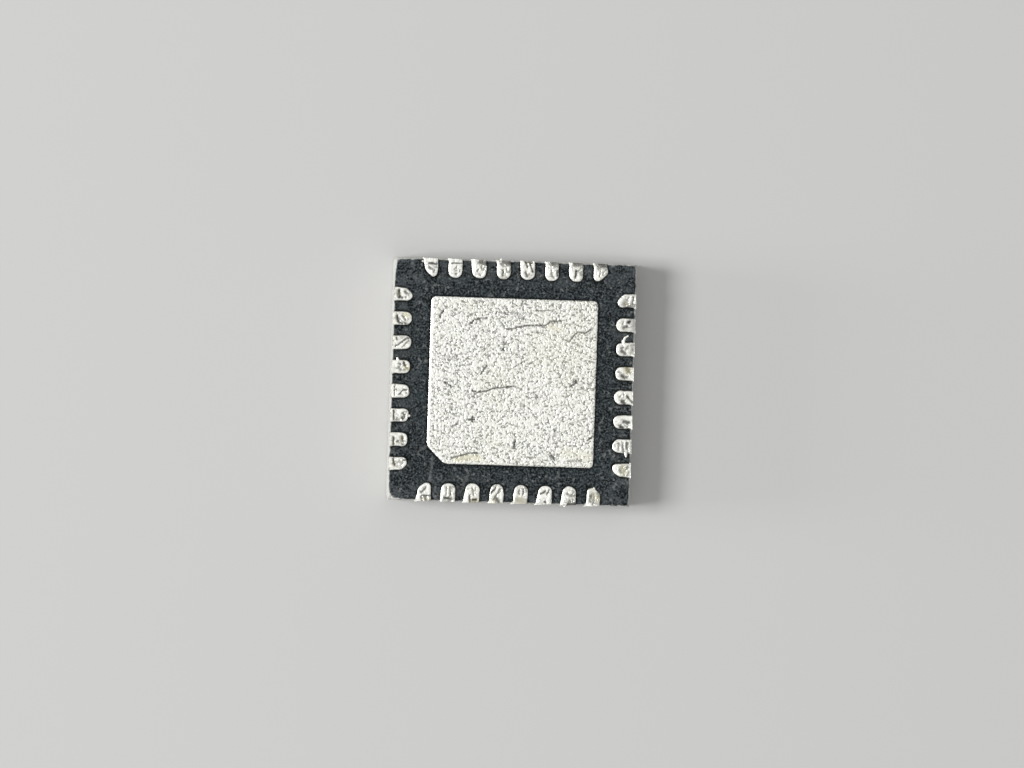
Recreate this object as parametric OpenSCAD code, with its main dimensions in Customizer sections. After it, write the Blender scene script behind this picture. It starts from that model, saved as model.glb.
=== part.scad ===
// Leadless quad package for an integrated circuit, lying on its marked face.
// The solder side faces up. Sizes are in millimetres.

/* [Package body] */
// Side of the square body, from sawn edge to sawn edge
body_side = 5; // [4.5:0.05:6]
// Height of the moulded body
body_height = 0.83; // [0.8:0.01:1.2]
// Height of the exposed metal above the moulded face
standoff = 0.02; // [0.01:0.005:0.04]

/* [Lead frame] */
// Thickness of the copper sheet
frame_thickness = 0.2; // [0.17:0.01:0.22]
// Thickness left where the sheet is half etched
etched_thickness = 0.1; // [0.06:0.01:0.12]

/* [Terminals] */
// Distance between neighbouring terminals
terminal_pitch = 0.5; // [0.42:0.01:0.65]
// Least distance from a corner of the body to the middle of the terminal beside it
corner_room = 0.75; // [0.65:0.01:1]
// Width of a terminal
terminal_width = 0.28; // [0.22:0.01:0.3]
// Length of the exposed face of a terminal
terminal_length = 0.38; // [0.3:0.01:0.42]
// Radius of the inner corners of a terminal
tip_radius = 0.12; // [0.04:0.01:0.13]
// Radius of the corners where a terminal is trimmed back from a tie bar
trim_radius = 0.1; // [0.03:0.01:0.1]
// Length of the half etched tongue that locks a terminal in the body
tongue_length = 0.1; // [0.05:0.01:0.12]
// Gap between a tie bar and the exposed face of the terminal beside it
corner_gap = 0.19; // [0.12:0.01:0.22]
// Gap between a tie bar and the half etched tongue beside it
tongue_gap = 0.13; // [0.08:0.01:0.18]

/* [Die paddle] */
// Gap between the tips of the terminals and the exposed square
paddle_gap = 0.395; // [0.32:0.005:0.5]
// Radius of the corners of the exposed square
paddle_radius = 0.1; // [0.04:0.01:0.15]
// Leg of the cut corner that marks the first terminal
key_cut = 0.36; // [0.25:0.01:0.5]
// Radius of the corners at both ends of that cut
key_radius = 0.24; // [0.1:0.01:0.3]
// Width of the half etched lip that locks the paddle in the body
lip_width = 0.09; // [0.05:0.01:0.11]
// Width of each corner tie bar
tie_width = 0.2; // [0.12:0.01:0.24]

/* [Die] */
// Side of the square die
die_side = 2.5; // [2.3:0.05:2.7]
// Thickness of the die
die_thickness = 0.25; // [0.15:0.01:0.28]
// Thickness of the glue under the die
attach_thickness = 0.025; // [0.015:0.005:0.04]
// Width of the glue that shows around the die
attach_margin = 0.05; // [0.03:0.01:0.08]

/* [Bond wires] */
// Diameter of a wire
wire_diameter = 0.025; // [0.018:0.001:0.032]
// Diameter of the ball on the die
ball_diameter = 0.07; // [0.06:0.002:0.08]
// Thickness of the ball on the die
ball_height = 0.015; // [0.012:0.001:0.02]
// Thickness of the neck around the foot of a wire
neck_wall = 0.003; // [0.002:0.001:0.005]
// Height at which a wire starts to bend above the die
neck_height = 0.07; // [0.06:0.005:0.09]
// Radius of the bend at the top of a wire
bend_radius = 0.07; // [0.05:0.005:0.09]
// Distance from the edge of the die to its row of balls
ball_inset = 0.1; // [0.08:0.01:0.15]
// Distance from the corner of the die to the first ball of a row
ball_corner = 0.34; // [0.3:0.01:0.45]
// Distance from the sawn side to the end of a wire
stitch_inset = 0.16; // [0.12:0.01:0.18]
// Diameter of the pressed end of a wire
stitch_diameter = 0.07; // [0.06:0.002:0.08]
// Thickness of the pressed end of a wire
stitch_height = 0.014; // [0.01:0.001:0.016]

/* [First terminal mark] */
// Diameter of the round mark in the marked face
mark_diameter = 0.5; // [0.3:0.05:0.7]
// Depth of the round mark
mark_depth = 0.03; // [0.02:0.005:0.05]
// Distance from the sawn sides to the middle of the round mark
mark_inset = 0.7; // [0.5:0.05:1]

/* [Hidden] */
solder_z = body_height + standoff;
frame_z = solder_z - frame_thickness;
attach_z = frame_z - attach_thickness;
die_z = attach_z - die_thickness;
half_body = body_side / 2;
// Guards a whole number of pitches against rounding
rounding = 0.000001;
terminals_per_side = 1 + floor((body_side - 2 * corner_room) / terminal_pitch + rounding);
pin_count = 4 * terminals_per_side;
paddle_side = body_side - 2 * (terminal_length + paddle_gap);
ball_pitch = (die_side - 2 * ball_corner) / (terminals_per_side - 1);
// How much faster the leg of a cut corner grows than the outline that is offset
key_spread = 2 - sqrt(2);
neck_diameter = wire_diameter + 2 * neck_wall;
// Length that an arc takes from each side of a corner that turns by 45 degrees, as a share of its radius
bevel_share = tan(45 / 2);
// Height of the neck past the start of the bend
neck_cover = 0.005;
// Least width left flat at the tip of a terminal
tip_flat = 0.02;
// Straight steps in each rounded corner
arc_steps = 8;
// Facets around a full circle
round_facets = 32;

mould_colour = [0.17, 0.18, 0.19];
tin_colour = [0.84, 0.84, 0.81];
glue_colour = [0.66, 0.66, 0.62];
silicon_colour = [0.34, 0.36, 0.4];
gold_colour = [0.86, 0.66, 0.24];

SIDES = ["left", "top", "right", "bottom"];

function two_digits(number) = number < 10 ? str("0", number) : str(number);
function terminal_name(pin) = str("terminal_", two_digits(pin));
function wire_group_name(side) = str("bond_wires_", side);

// Terminals count up the left side, then along the top, down the right and back along the bottom
function pin_side(pin) = floor((pin - 1) / terminals_per_side);
function pin_place(pin) = (pin - 1) % terminals_per_side - (terminals_per_side - 1) / 2;

// Unit vector from one point towards another
function direction(from, to) = (to - from) / norm(to - from);

// Points of the arc that rounds the middle one of three corners
function corner_arc(before, corner, after, radius) =
    let (
        back = direction(corner, before),
        ahead = direction(corner, after),
        half_angle = acos(back * ahead) / 2,
        inward = direction([0, 0], back + ahead),
        centre = corner + inward * radius / sin(half_angle),
        swing = 90 - half_angle,
        sign = back[0] * ahead[1] - back[1] * ahead[0] > 0 ? -1 : 1,
        middle = atan2(-inward[1], -inward[0])
    )
    [
        for (step = [0 : arc_steps])
        let (angle = middle + sign * swing * (2 * step / arc_steps - 1))
        centre + radius * [cos(angle), sin(angle)]
    ];

// Outline whose corners are rounded, each by its own radius
function rounded_outline(corners, radii) =
    let (count = len(corners))
    [
        for (index = [0 : count - 1])
        let (
            before = corners[(index + count - 1) % count],
            after = corners[(index + 1) % count]
        )
        each radii[index] == 0
            ? [corners[index]]
            : corner_arc(before, corners[index], after, radii[index])
    ];

// Moves its children to a terminal: x runs inwards from the sawn side
module at_terminal(pin) {
    rotate(-90 * pin_side(pin))
        translate([-half_body, pin_place(pin) * terminal_pitch])
            children();
}

// Band along both diagonals, in which the tie bars run
module diagonal_band(width) {
    for (angle = [45, -45])
        rotate(angle)
            square([2 * body_side, width], center = true);
}

// Terminal in plan with two round inner corners, at its own place
module plain_terminal(length) {
    half_width = terminal_width / 2;
    radius = min(tip_radius, half_width - tip_flat / 2);
    corners = [[0, -half_width], [length, -half_width], [length, half_width], [0, half_width]];
    polygon(rounded_outline(corners, [0, radius, radius, 0]));
}

// Terminal in plan whose inner corner at high y is cut off at 45 degrees, from a tip to a shoulder
module trimmed_terminal(length, tip, shoulder) {
    half_width = terminal_width / 2;
    radius = min(tip_radius, tip + half_width - trim_radius * bevel_share);
    corners = [
        [0, -half_width],
        [length, -half_width],
        [length, tip],
        [shoulder, half_width],
        [0, half_width]
    ];
    polygon(rounded_outline(corners, [0, radius, trim_radius, trim_radius, 0]));
}

// One terminal in plan, trimmed back from the tie bars
module terminal_plan(pin, length, gap) {
    half_width = terminal_width / 2;
    band = tie_width + 2 * gap;
    corner_distance = half_body - abs(pin_place(pin)) * terminal_pitch;
    shoulder = corner_distance - band / sqrt(2) - half_width;
    tip = shoulder + half_width - length;
    least_tip = trim_radius * bevel_share + tip_flat - half_width;
    most_tip = half_width - trim_radius * bevel_share * sqrt(2);
    if (tip > least_tip && tip < most_tip) {
        at_terminal(pin)
            mirror([0, pin_place(pin) < 0 ? 1 : 0])
                trimmed_terminal(length, tip, shoulder);
    } else {
        difference() {
            at_terminal(pin)
                plain_terminal(length);
            diagonal_band(band);
        }
    }
}

// Square with one corner cut off, grown by a margin on every side
module paddle_plan(margin) {
    half = paddle_side / 2 + margin;
    cut = key_cut + margin * key_spread;
    radius = paddle_radius + margin;
    cut_radius = key_radius + margin;
    corners = [
        [cut - half, -half],
        [half, -half],
        [half, half],
        [-half, half],
        [-half, cut - half]
    ];
    polygon(rounded_outline(corners, [cut_radius, radius, radius, radius, cut_radius]));
}

module terminal(pin) {
    color(tin_colour)
        translate([0, 0, frame_z]) {
            linear_extrude(frame_thickness)
                terminal_plan(pin, terminal_length, corner_gap);
            linear_extrude(etched_thickness)
                terminal_plan(pin, terminal_length + tongue_length, tongue_gap);
        }
}

module die_paddle() {
    color(tin_colour)
        translate([0, 0, frame_z]) {
            linear_extrude(frame_thickness)
                paddle_plan(0);
            linear_extrude(etched_thickness) {
                paddle_plan(lip_width);
                intersection() {
                    square(body_side, center = true);
                    diagonal_band(tie_width);
                }
            }
        }
}

module die_attach() {
    color(glue_colour)
        translate([0, 0, attach_z])
            linear_extrude(attach_thickness)
                square(die_side + 2 * attach_margin, center = true);
}

module silicon_die() {
    color(silicon_colour)
        translate([0, 0, die_z])
            linear_extrude(die_thickness)
                square(die_side, center = true);
}

// Pressed ball on the die, tapering into the neck of the wire
module wire_ball() {
    top = neck_height + neck_cover;
    rotate_extrude($fn = round_facets)
        polygon([
            [0, 0],
            [ball_diameter / 2, 0],
            [ball_diameter / 2, ball_height],
            [neck_diameter / 2, top],
            [0, top]
        ]);
}

// Wire from the ball at the origin to a point that is a given reach along x and a given drop below
module wire_loop(reach, drop) {
    across = reach - bend_radius;
    down = drop + neck_height - wire_diameter / 2;
    distance = norm([across, down]);
    run = sqrt(distance * distance - bend_radius * bend_radius);
    lift = acos(bend_radius / distance) - atan2(down, across);
    wire_ball();
    translate([bend_radius, 0, neck_height])
        rotate([90, 0, 0])
            rotate(lift) {
                rotate_extrude(angle = 180 - lift, $fn = round_facets)
                    translate([bend_radius, 0])
                        circle(d = wire_diameter, $fn = round_facets);
                translate([bend_radius, 0, 0])
                    rotate([90, 0, 0])
                        cylinder(d = wire_diameter, h = run, $fn = round_facets);
            }
    translate([reach, 0, -drop])
        cylinder(d = stitch_diameter, h = stitch_height, $fn = round_facets);
}

// Wire of one terminal, from the row of balls on the die to the inner face of the terminal
module bond_wire(pin) {
    start = [half_body - die_side / 2 + ball_inset, pin_place(pin) * (ball_pitch - terminal_pitch)];
    finish = [stitch_inset, 0];
    way = finish - start;
    at_terminal(pin)
        translate([start[0], start[1], die_z])
            rotate([180, 0, atan2(way[1], way[0])])
                wire_loop(norm(way), die_thickness + attach_thickness);
}

module bond_wires(side) {
    first = side * terminals_per_side + 1;
    color(gold_colour)
        for (pin = [first : first + terminals_per_side - 1])
            bond_wire(pin);
}

// Round mark in the marked face, under the cut corner of the paddle
module first_mark() {
    place = mark_inset - half_body;
    translate([place, place, -mark_depth])
        cylinder(d = mark_diameter, h = 2 * mark_depth, $fn = round_facets);
}

module mould_body() {
    color(mould_colour)
        difference() {
            linear_extrude(body_height)
                square(body_side, center = true);
            first_mark();
            die_paddle();
            die_attach();
            silicon_die();
            for (pin = [1 : pin_count]) {
                terminal(pin);
                bond_wire(pin);
            }
        }
}

mould_body();
die_paddle();
die_attach();
silicon_die();
for (side = [0 : 3])
    bond_wires(side);
for (pin = [1 : pin_count])
    terminal(pin);
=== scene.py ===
"""Dresses a leadless quad package with 32 terminals that lies on its marked face.

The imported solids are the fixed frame. The flat faces that show get a fine net of triangles,
and the grain, burrs, saw lines and scratches of the real one are shaped into that net.
"""

import itertools
import logging
import math
from dataclasses import dataclass
from enum import Enum
from functools import partial, reduce

import bpy
import numpy as np
from mathutils import Matrix, Vector
from mathutils.geometry import delaunay_2d_cdt
from mathutils.kdtree import KDTree

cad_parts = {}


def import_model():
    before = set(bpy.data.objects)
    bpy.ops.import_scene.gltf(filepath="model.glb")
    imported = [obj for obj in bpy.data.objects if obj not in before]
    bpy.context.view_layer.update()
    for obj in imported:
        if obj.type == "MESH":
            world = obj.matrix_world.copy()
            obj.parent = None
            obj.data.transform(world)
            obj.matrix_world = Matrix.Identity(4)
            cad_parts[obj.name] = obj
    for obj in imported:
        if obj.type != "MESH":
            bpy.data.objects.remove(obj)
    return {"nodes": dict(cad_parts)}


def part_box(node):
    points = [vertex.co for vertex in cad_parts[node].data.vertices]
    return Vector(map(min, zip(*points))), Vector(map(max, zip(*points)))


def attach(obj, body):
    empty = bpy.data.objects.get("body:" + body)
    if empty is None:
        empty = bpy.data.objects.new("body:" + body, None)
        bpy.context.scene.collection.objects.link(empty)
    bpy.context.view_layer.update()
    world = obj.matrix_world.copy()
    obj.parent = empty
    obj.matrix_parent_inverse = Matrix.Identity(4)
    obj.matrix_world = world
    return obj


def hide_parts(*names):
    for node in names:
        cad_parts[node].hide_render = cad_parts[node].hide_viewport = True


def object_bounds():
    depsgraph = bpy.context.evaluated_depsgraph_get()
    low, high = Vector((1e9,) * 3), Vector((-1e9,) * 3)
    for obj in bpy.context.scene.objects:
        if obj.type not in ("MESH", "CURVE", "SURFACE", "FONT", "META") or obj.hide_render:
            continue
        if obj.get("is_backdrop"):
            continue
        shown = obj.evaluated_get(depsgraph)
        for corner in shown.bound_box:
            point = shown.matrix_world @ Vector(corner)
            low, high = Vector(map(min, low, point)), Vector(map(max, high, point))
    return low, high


LOG = logging.getLogger("package")
BODY = "root"

# Millimetres are used for shaping, metres for what Blender shows
MM = 0.001

# Points no farther than this from a plane lie in it, in millimetres
TOUCH = 1e-4

# Lengths and areas below these count as nothing, and no radius is less than the last
NO_LENGTH = 1e-9
NO_AREA = 1e-12
LEAST_RADIUS = 1e-6

# Points of a net closer than this are one
MERGE = 1e-7

# Decimals of a millimetre to which the solids' corners are rounded
DECIMALS = 5

# Dots on each step of an outline from which distances are measured
EDGE_DOTS = 5

# Angle between two faces above which their edge stays sharp, in degrees
SHARP_ANGLE = 42

# Factors and shifts that scramble the lattice of the noise
LATTICE_FACTORS = (73856093, 19349663, 83492791)
SEED_FACTOR = 2654435761
SCRAMBLES = ((15, 2246822519), (13, 3266489917))
WORD = 0xFFFFFFFF
HALF_WORD = 0xFFFF

# Middle of a noise texture's values, and the range that most of them fall in
MIDDLE = 0.5
NOISE_RANGE = (0.3, 0.7)
NOISE_ROUGHNESS = 0.55

Array = np.ndarray
Socket = bpy.types.NodeSocket
Material = bpy.types.Material
Thing = bpy.types.Object
Colour = tuple[float, float, float]
Triple = tuple[float, float, float]
Span = tuple[float, float]
Path = tuple[Span, ...]
Edge = tuple[int, int]
Chains = dict[Edge, list[int]]


class Facing(Enum):
    """A flat side of a solid, as the number of its axis and the sign of its outward normal."""

    LEFT = (0, -1)
    RIGHT = (0, 1)
    FRONT = (1, -1)
    BACK = (1, 1)
    BOTTOM = (2, -1)
    TOP = (2, 1)

    @property
    def axis(self) -> int:
        """Number of the axis that the side is square to."""
        return self.value[0]

    @property
    def sign(self) -> int:
        """Sign of the outward normal on that axis."""
        return self.value[1]

    @property
    def plane_axes(self) -> tuple[int, int]:
        """The two axes in the side's plane, in the order that counts anticlockwise from outside."""
        first = (self.axis + 1) % 3
        second = (self.axis + 2) % 3
        return (first, second) if self.sign > 0 else (second, first)

    @property
    def normal(self) -> Array:
        """Outward normal of the side."""
        return np.eye(3)[self.axis] * self.sign


class Tone(Enum):
    """What a mark brings out in the plating, named by the attribute that the finish reads."""

    DARK = "groove"
    # Light scratches, and on the pad also a painted highlight along its rim
    BRIGHT = "shine"
    STAIN = "stain"
    BARE = "bare"


@dataclass(frozen=True)
class Stroke:
    """A scratch, pit, dent or stain on the solder face.

    Attributes:
        path: Corners of its line in pixels of the photograph.
        width: Full width in millimetres.
        depth: Depth in millimetres.
        tone: What it brings out in the plating.
        strength: Share of that tone, from 0 to 1.
    """

    path: Path
    width: float
    depth: float
    tone: Tone
    strength: float


@dataclass(frozen=True)
class Photo:
    """How the package lies in the photograph, measured on its large square pad.

    Attributes:
        width, height: Size of the picture in pixels.
        pad_across, pad_down: Pixels from its left and top edges to the middle of the pad.
        pixels_per_mm: Scale in the plane of the pad.
        roll_deg: Clockwise turn of the package.
        lean_left_deg, lean_back_deg: Lean of the view towards the left and back sides.
    """

    width: int = 1024
    height: int = 768
    pad_across: float = 511.49
    pad_down: float = 381.70
    pixels_per_mm: float = 48.49
    roll_deg: float = 1.80
    lean_left_deg: float = 3.4
    lean_back_deg: float = 0.7

    def to_package(self, path: Path) -> Array:
        """Turns pixels into places on the solder face.

        Args:
            path: Pixels of the photograph.

        Returns:
            One row of x and y in millimetres per pixel.
        """
        roll = math.radians(self.roll_deg)
        pixels = np.array(path, float)
        across = (pixels[:, 0] - self.pad_across) / self.pixels_per_mm
        down = (pixels[:, 1] - self.pad_down) / self.pixels_per_mm
        x = across * math.cos(roll) + down * math.sin(roll)
        y = across * math.sin(roll) - down * math.cos(roll)
        return np.column_stack((x, y))


def lattice_noise(places: Array, seed: int) -> Array:
    """Smooth random values from 0 to 1.

    Args:
        places: One row of coordinates per value, one unit to a cell.
        seed: Fixes the values.

    Returns:
        One value per row.
    """
    factors = np.array(LATTICE_FACTORS)[: places.shape[1]]
    cell = np.floor(places).astype(np.int64)
    part = places - cell
    part = part * part * (3 - 2 * part)
    total = np.zeros(len(places))
    for corner in itertools.product((0, 1), repeat=places.shape[1]):
        key = ((cell + corner) * factors).sum(axis=1) + seed * SEED_FACTOR
        for shift, factor in SCRAMBLES:
            key = (key ^ (key >> shift)) * factor & WORD
        share = np.prod(np.where(corner, part, 1 - part), axis=1)
        total += share * (key >> 8 & HALF_WORD) / HALF_WORD
    return total


@dataclass(frozen=True)
class Field:
    """Smooth noise in space.

    Attributes:
        cells: Cells per millimetre.
        seed: Fixes the noise.
    """

    cells: float
    seed: int

    def at(self, points: Array) -> Array:
        """Values from 0 to 1 at points in millimetres."""
        return lattice_noise(points * self.cells, self.seed)


def put(name: str, data: bpy.types.ID) -> Thing:
    """Puts a mesh, lamp or camera in the scene.

    Args:
        name: Name of the new object.
        data: What it shows.

    Returns:
        The new object.
    """
    thing = bpy.data.objects.new(name, data)
    bpy.context.scene.collection.objects.link(thing)
    return thing


def smooth_step(values: Array, low: float, high: float) -> Array:
    """Eases values from 0 at low to 1 at high."""
    share = np.clip((values - low) / (high - low), 0.0, 1.0)
    return share * share * (3 - 2 * share)


def ease_edge(points: Array, rows: Array, rim: Array, width: float, drop: float) -> None:
    """Rolls a face's edge down by a drop over a width, at the rows of points that lie on it."""
    share = np.clip(1 - rim[rows] / width, 0.0, 1.0)
    points[rows, 2] -= drop * (1 - np.sqrt(1 - share**2))


@dataclass
class Net:
    """A mesh as plain arrays, in millimetres.

    Attributes:
        points: One row of x, y and z per vertex.
        faces: Vertex numbers of each face.
        on: Which vertices lie on each refined side.
        rim: Distance to the nearest edge where a refined side meets the rest of the solid.
        corner: Distance to the nearest edge that two refined sides share.
    """

    points: Array
    faces: list[list[int]]
    on: dict[Facing, Array]
    rim: Array
    corner: Array

    def piece(self, name: str, marks: dict[str, Array]) -> Thing:
        """Makes an object of the net.

        Args:
            name: Name of the piece.
            marks: Values per vertex to keep as attributes, numbers or vectors.

        Returns:
            The new object, linked to the scene.
        """
        mesh = bpy.data.meshes.new(name)
        mesh.from_pydata((self.points * MM).tolist(), [], self.faces)
        for key, values in marks.items():
            flat = values.ndim == 1
            layer = mesh.attributes.new(key, "FLOAT" if flat else "FLOAT_VECTOR", "POINT")
            layer.data.foreach_set("value" if flat else "vector", values.astype(np.float32).ravel())
        return put(name, mesh)


@dataclass
class FineSkin:
    """A copy of one solid whose chosen flat sides carry a fine, even net of triangles.

    Attributes:
        solid: The solid's object in the frame.
        spacings: Spacing of the net in millimetres on each side to refine.
        seed: Fixes the scatter of the net's points.
        scatter: How far a point strays from its even place, as a share of the spacing.
        edge_row: Distance of the row of points along an edge, as a share of the spacing.
        edge_gap: Least distance of any other point from an edge, as a share of the spacing.
        row_gap: Least distance of that row from other edges, as a share of its own.
    """

    solid: Thing
    spacings: dict[Facing, float]
    seed: int = 1
    scatter: float = 0.2
    edge_row: float = 0.5
    edge_gap: float = 0.85
    row_gap: float = 0.6

    def net(self) -> Net:
        """Builds the refined copy.

        Returns:
            The copy as a net.
        """
        points, triangles = self.merged()
        taken = np.zeros(len(triangles), bool)
        outlines: dict[Facing, list[Edge]] = {}
        for facing in self.spacings:
            level = (points * facing.sign).max(axis=0)[facing.axis] * facing.sign
            flat = np.abs(points[:, facing.axis] - level) < TOUCH
            inside = flat[triangles].all(axis=1)
            outlines[facing] = self.open_edges(triangles[inside])
            taken |= inside
        grown = points.tolist()
        chains, shared = self.split(outlines, points, grown)
        faces = []
        for triangle in triangles[~taken].tolist():
            loop = []
            for start, end in zip(triangle, triangle[1:] + triangle[:1]):
                loop += self.walk(chains, start, end)[:-1]
            faces.append(loop)
        reach: dict[Facing, tuple[list[int], Array, Array]] = {}
        for facing, edges in outlines.items():
            reach[facing] = self.fill(facing, edges, chains, shared, grown, faces)
        total = np.array(grown)
        net = Net(total, faces, {}, np.full(len(total), np.inf), np.full(len(total), np.inf))
        for facing, (ids, rim, corner) in reach.items():
            net.on[facing] = np.zeros(len(total), bool)
            net.on[facing][ids] = True
            net.rim[ids] = np.minimum(net.rim[ids], rim)
            net.corner[ids] = np.minimum(net.corner[ids], corner)
        return net

    def merged(self) -> tuple[Array, Array]:
        """Copies the solid's loose triangles and joins their corners.

        Returns:
            Points in millimetres, and triangles as rows of three point numbers.
        """
        mesh = self.solid.data
        mesh.calc_loop_triangles()
        raw = np.empty(len(mesh.vertices) * 3, np.float32)
        mesh.vertices.foreach_get("co", raw)
        loose = np.empty(len(mesh.loop_triangles) * 3, np.int32)
        mesh.loop_triangles.foreach_get("vertices", loose)
        places = np.round(raw.reshape(-1, 3).astype(float) / MM, DECIMALS)
        points, lookup = np.unique(places, axis=0, return_inverse=True)
        triangles = lookup.reshape(-1)[loose].reshape(-1, 3)
        whole = (triangles != np.roll(triangles, 1, axis=1)).all(axis=1)
        return points, triangles[whole]

    @staticmethod
    def open_edges(triangles: Array) -> list[Edge]:
        """Finds the outline of a patch of triangles.

        Args:
            triangles: Rows of three point numbers.

        Returns:
            Edges with the patch on their left.
        """
        edges = [tuple(edge) for edge in triangles[:, [0, 1, 1, 2, 2, 0]].reshape(-1, 2).tolist()]
        known = set(edges)
        return [(start, end) for start, end in edges if (end, start) not in known]

    def split(
        self, outlines: dict[Facing, list[Edge]], points: Array, grown: list[list[float]]
    ) -> tuple[Chains, set[Edge]]:
        """Cuts the outlines' edges into even steps.

        Args:
            outlines: Edges round each refined side.
            points: The solid's own points.
            grown: All points, to which the new ones are added.

        Returns:
            The points along each edge from its lower number, and the edges that two sides share.
        """
        steps: dict[Edge, list[float]] = {}
        for facing, edges in outlines.items():
            for edge in edges:
                steps.setdefault((min(edge), max(edge)), []).append(self.spacings[facing])
        chains = {}
        for (start, end), spacings in steps.items():
            length = np.linalg.norm(points[end] - points[start])
            count = max(1, math.ceil(length / min(spacings)))
            chain = [start]
            for share in np.arange(1, count) / count:
                chain.append(len(grown))
                grown.append((points[start] * (1 - share) + points[end] * share).tolist())
            chains[start, end] = chain + [end]
        shared = {edge for edge, spacings in steps.items() if len(spacings) > 1}
        return chains, shared

    @staticmethod
    def walk(chains: Chains, start: int, end: int) -> list[int]:
        """Gives the points along one edge, from its start to its end."""
        chain = chains.get((min(start, end), max(start, end)), [min(start, end), max(start, end)])
        return chain if chain[0] == start else chain[::-1]

    def fill(
        self,
        facing: Facing,
        edges: list[Edge],
        chains: Chains,
        shared: set[Edge],
        grown: list[list[float]],
        faces: list[list[int]],
    ) -> tuple[list[int], Array, Array]:
        """Covers one side with the fine net.

        Args:
            facing: The side.
            edges: Its outline.
            chains: Points along the outline's edges.
            shared: Edges that two refined sides share.
            grown: All points, to which the new ones are added.
            faces: All faces, to which the new ones are added.

        Returns:
            Numbers of the side's points, and their distances to the rim and to the shared edges.
        """
        axes = list(facing.plane_axes)
        spacing = self.spacings[facing]
        segments = []
        is_shared = []
        for start, end in edges:
            chain = self.walk(chains, start, end)
            segments += list(zip(chain[:-1], chain[1:]))
            is_shared += [(min(start, end), max(start, end)) in shared] * (len(chain) - 1)
        border = sorted({number for segment in segments for number in segment})
        local = {number: index for index, number in enumerate(border)}
        flat = np.array([grown[number] for number in border])[:, axes]
        level = grown[border[0]][facing.axis]
        ends = np.array([[local[start], local[end]] for start, end in segments])
        coarse = np.array([[grown[start], grown[end]] for start, end in edges])[:, :, axes]
        inner = self.scattered(flat, ends, coarse, spacing)
        corners = np.vstack((flat, inner))
        made = delaunay_2d_cdt([Vector(place) for place in corners], ends.tolist(), [], 0, MERGE)
        first_new = len(grown) - len(border)
        for across, up in inner:
            place = [level, level, level]
            place[axes[0]] = float(across)
            place[axes[1]] = float(up)
            grown.append(place)
        numbers = [origin[0] for origin in made[3]]
        triangles = np.array([[numbers[index] for index in face] for face in made[2]])
        spots = corners[triangles]
        sides = spots[:, 1:] - spots[:, :1]
        area = sides[:, 0, 0] * sides[:, 1, 1] - sides[:, 0, 1] * sides[:, 1, 0]
        keep = self.inside(spots.mean(axis=1), coarse) & (np.abs(area) > NO_AREA)
        triangles[area < 0] = triangles[area < 0][:, ::-1]
        ids = border + list(range(first_new + len(border), len(grown)))
        names = np.array(ids)
        faces += names[triangles[keep]].tolist()
        where = np.array(is_shared)
        rim = self.distance(corners, flat, ends[~where])
        corner = self.distance(corners, flat, ends[where])
        return ids, rim, corner

    def scattered(self, flat: Array, ends: Array, coarse: Array, spacing: float) -> Array:
        """Spreads points over the inside of an outline.

        Args:
            flat: Points on the outline.
            ends: Pairs of their numbers, one per step of the outline.
            coarse: The outline's edges before they were cut.
            spacing: Distance between points.

        Returns:
            New points, with a closer row along the outline.
        """
        random = np.random.default_rng(self.seed)
        low = flat.min(axis=0)
        high = flat.max(axis=0)
        row_step = spacing * math.sqrt(0.75)
        columns = np.arange(low[0], high[0], spacing)
        across, up = np.meshgrid(columns, np.arange(low[1], high[1], row_step))
        across = across + (np.arange(len(across)) % 2)[:, None] * spacing / 2
        even = np.column_stack((across.ravel(), up.ravel()))
        even += random.uniform(-self.scatter, self.scatter, even.shape) * spacing
        start = flat[ends[:, 0]]
        along = flat[ends[:, 1]] - start
        length = np.linalg.norm(along, axis=1, keepdims=True)
        inward = np.column_stack((-along[:, 1], along[:, 0])) / length
        row = start + along / 2 + inward * np.minimum(length, spacing) * self.edge_row
        even = even[self.inside(even, coarse)]
        even = even[self.distance(even, flat, ends) > spacing * self.edge_gap]
        row = row[self.inside(row, coarse)]
        row = row[self.distance(row, flat, ends) > spacing * self.edge_row * self.row_gap]
        return np.vstack((even, row))

    @staticmethod
    def inside(places: Array, edges: Array) -> Array:
        """Says which places an outline holds, by counting the edges to their right.

        Args:
            places: Rows of two coordinates.
            edges: The outline's edges, each as two places.

        Returns:
            True for each place that lies inside.
        """
        held = np.zeros(len(places), bool)
        across = places[:, 0]
        up = places[:, 1]
        for (x0, y0), (x1, y1) in edges:
            if y0 == y1:
                continue
            crossed = (y0 > up) != (y1 > up)
            held ^= crossed & (across < (x1 - x0) * (up - y0) / (y1 - y0) + x0)
        return held

    @staticmethod
    def distance(places: Array, flat: Array, ends: Array) -> Array:
        """Measures how far places lie from an outline.

        Args:
            places: Rows of two coordinates.
            flat: Points on the outline.
            ends: Pairs of their numbers, one per step of the outline.

        Returns:
            Distances, infinite where there is no outline.
        """
        if not len(ends):
            return np.full(len(places), np.inf)
        shares = np.linspace(0, 1, EDGE_DOTS)[:, None, None]
        dots = (flat[ends[:, 0]] * (1 - shares) + flat[ends[:, 1]] * shares).reshape(-1, 2)
        tree = KDTree(len(dots))
        for number, (across, up) in enumerate(dots):
            tree.insert((across, up, 0.0), number)
        tree.balance()
        return np.array([tree.find((across, up, 0.0))[2] for across, up in places])


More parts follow.
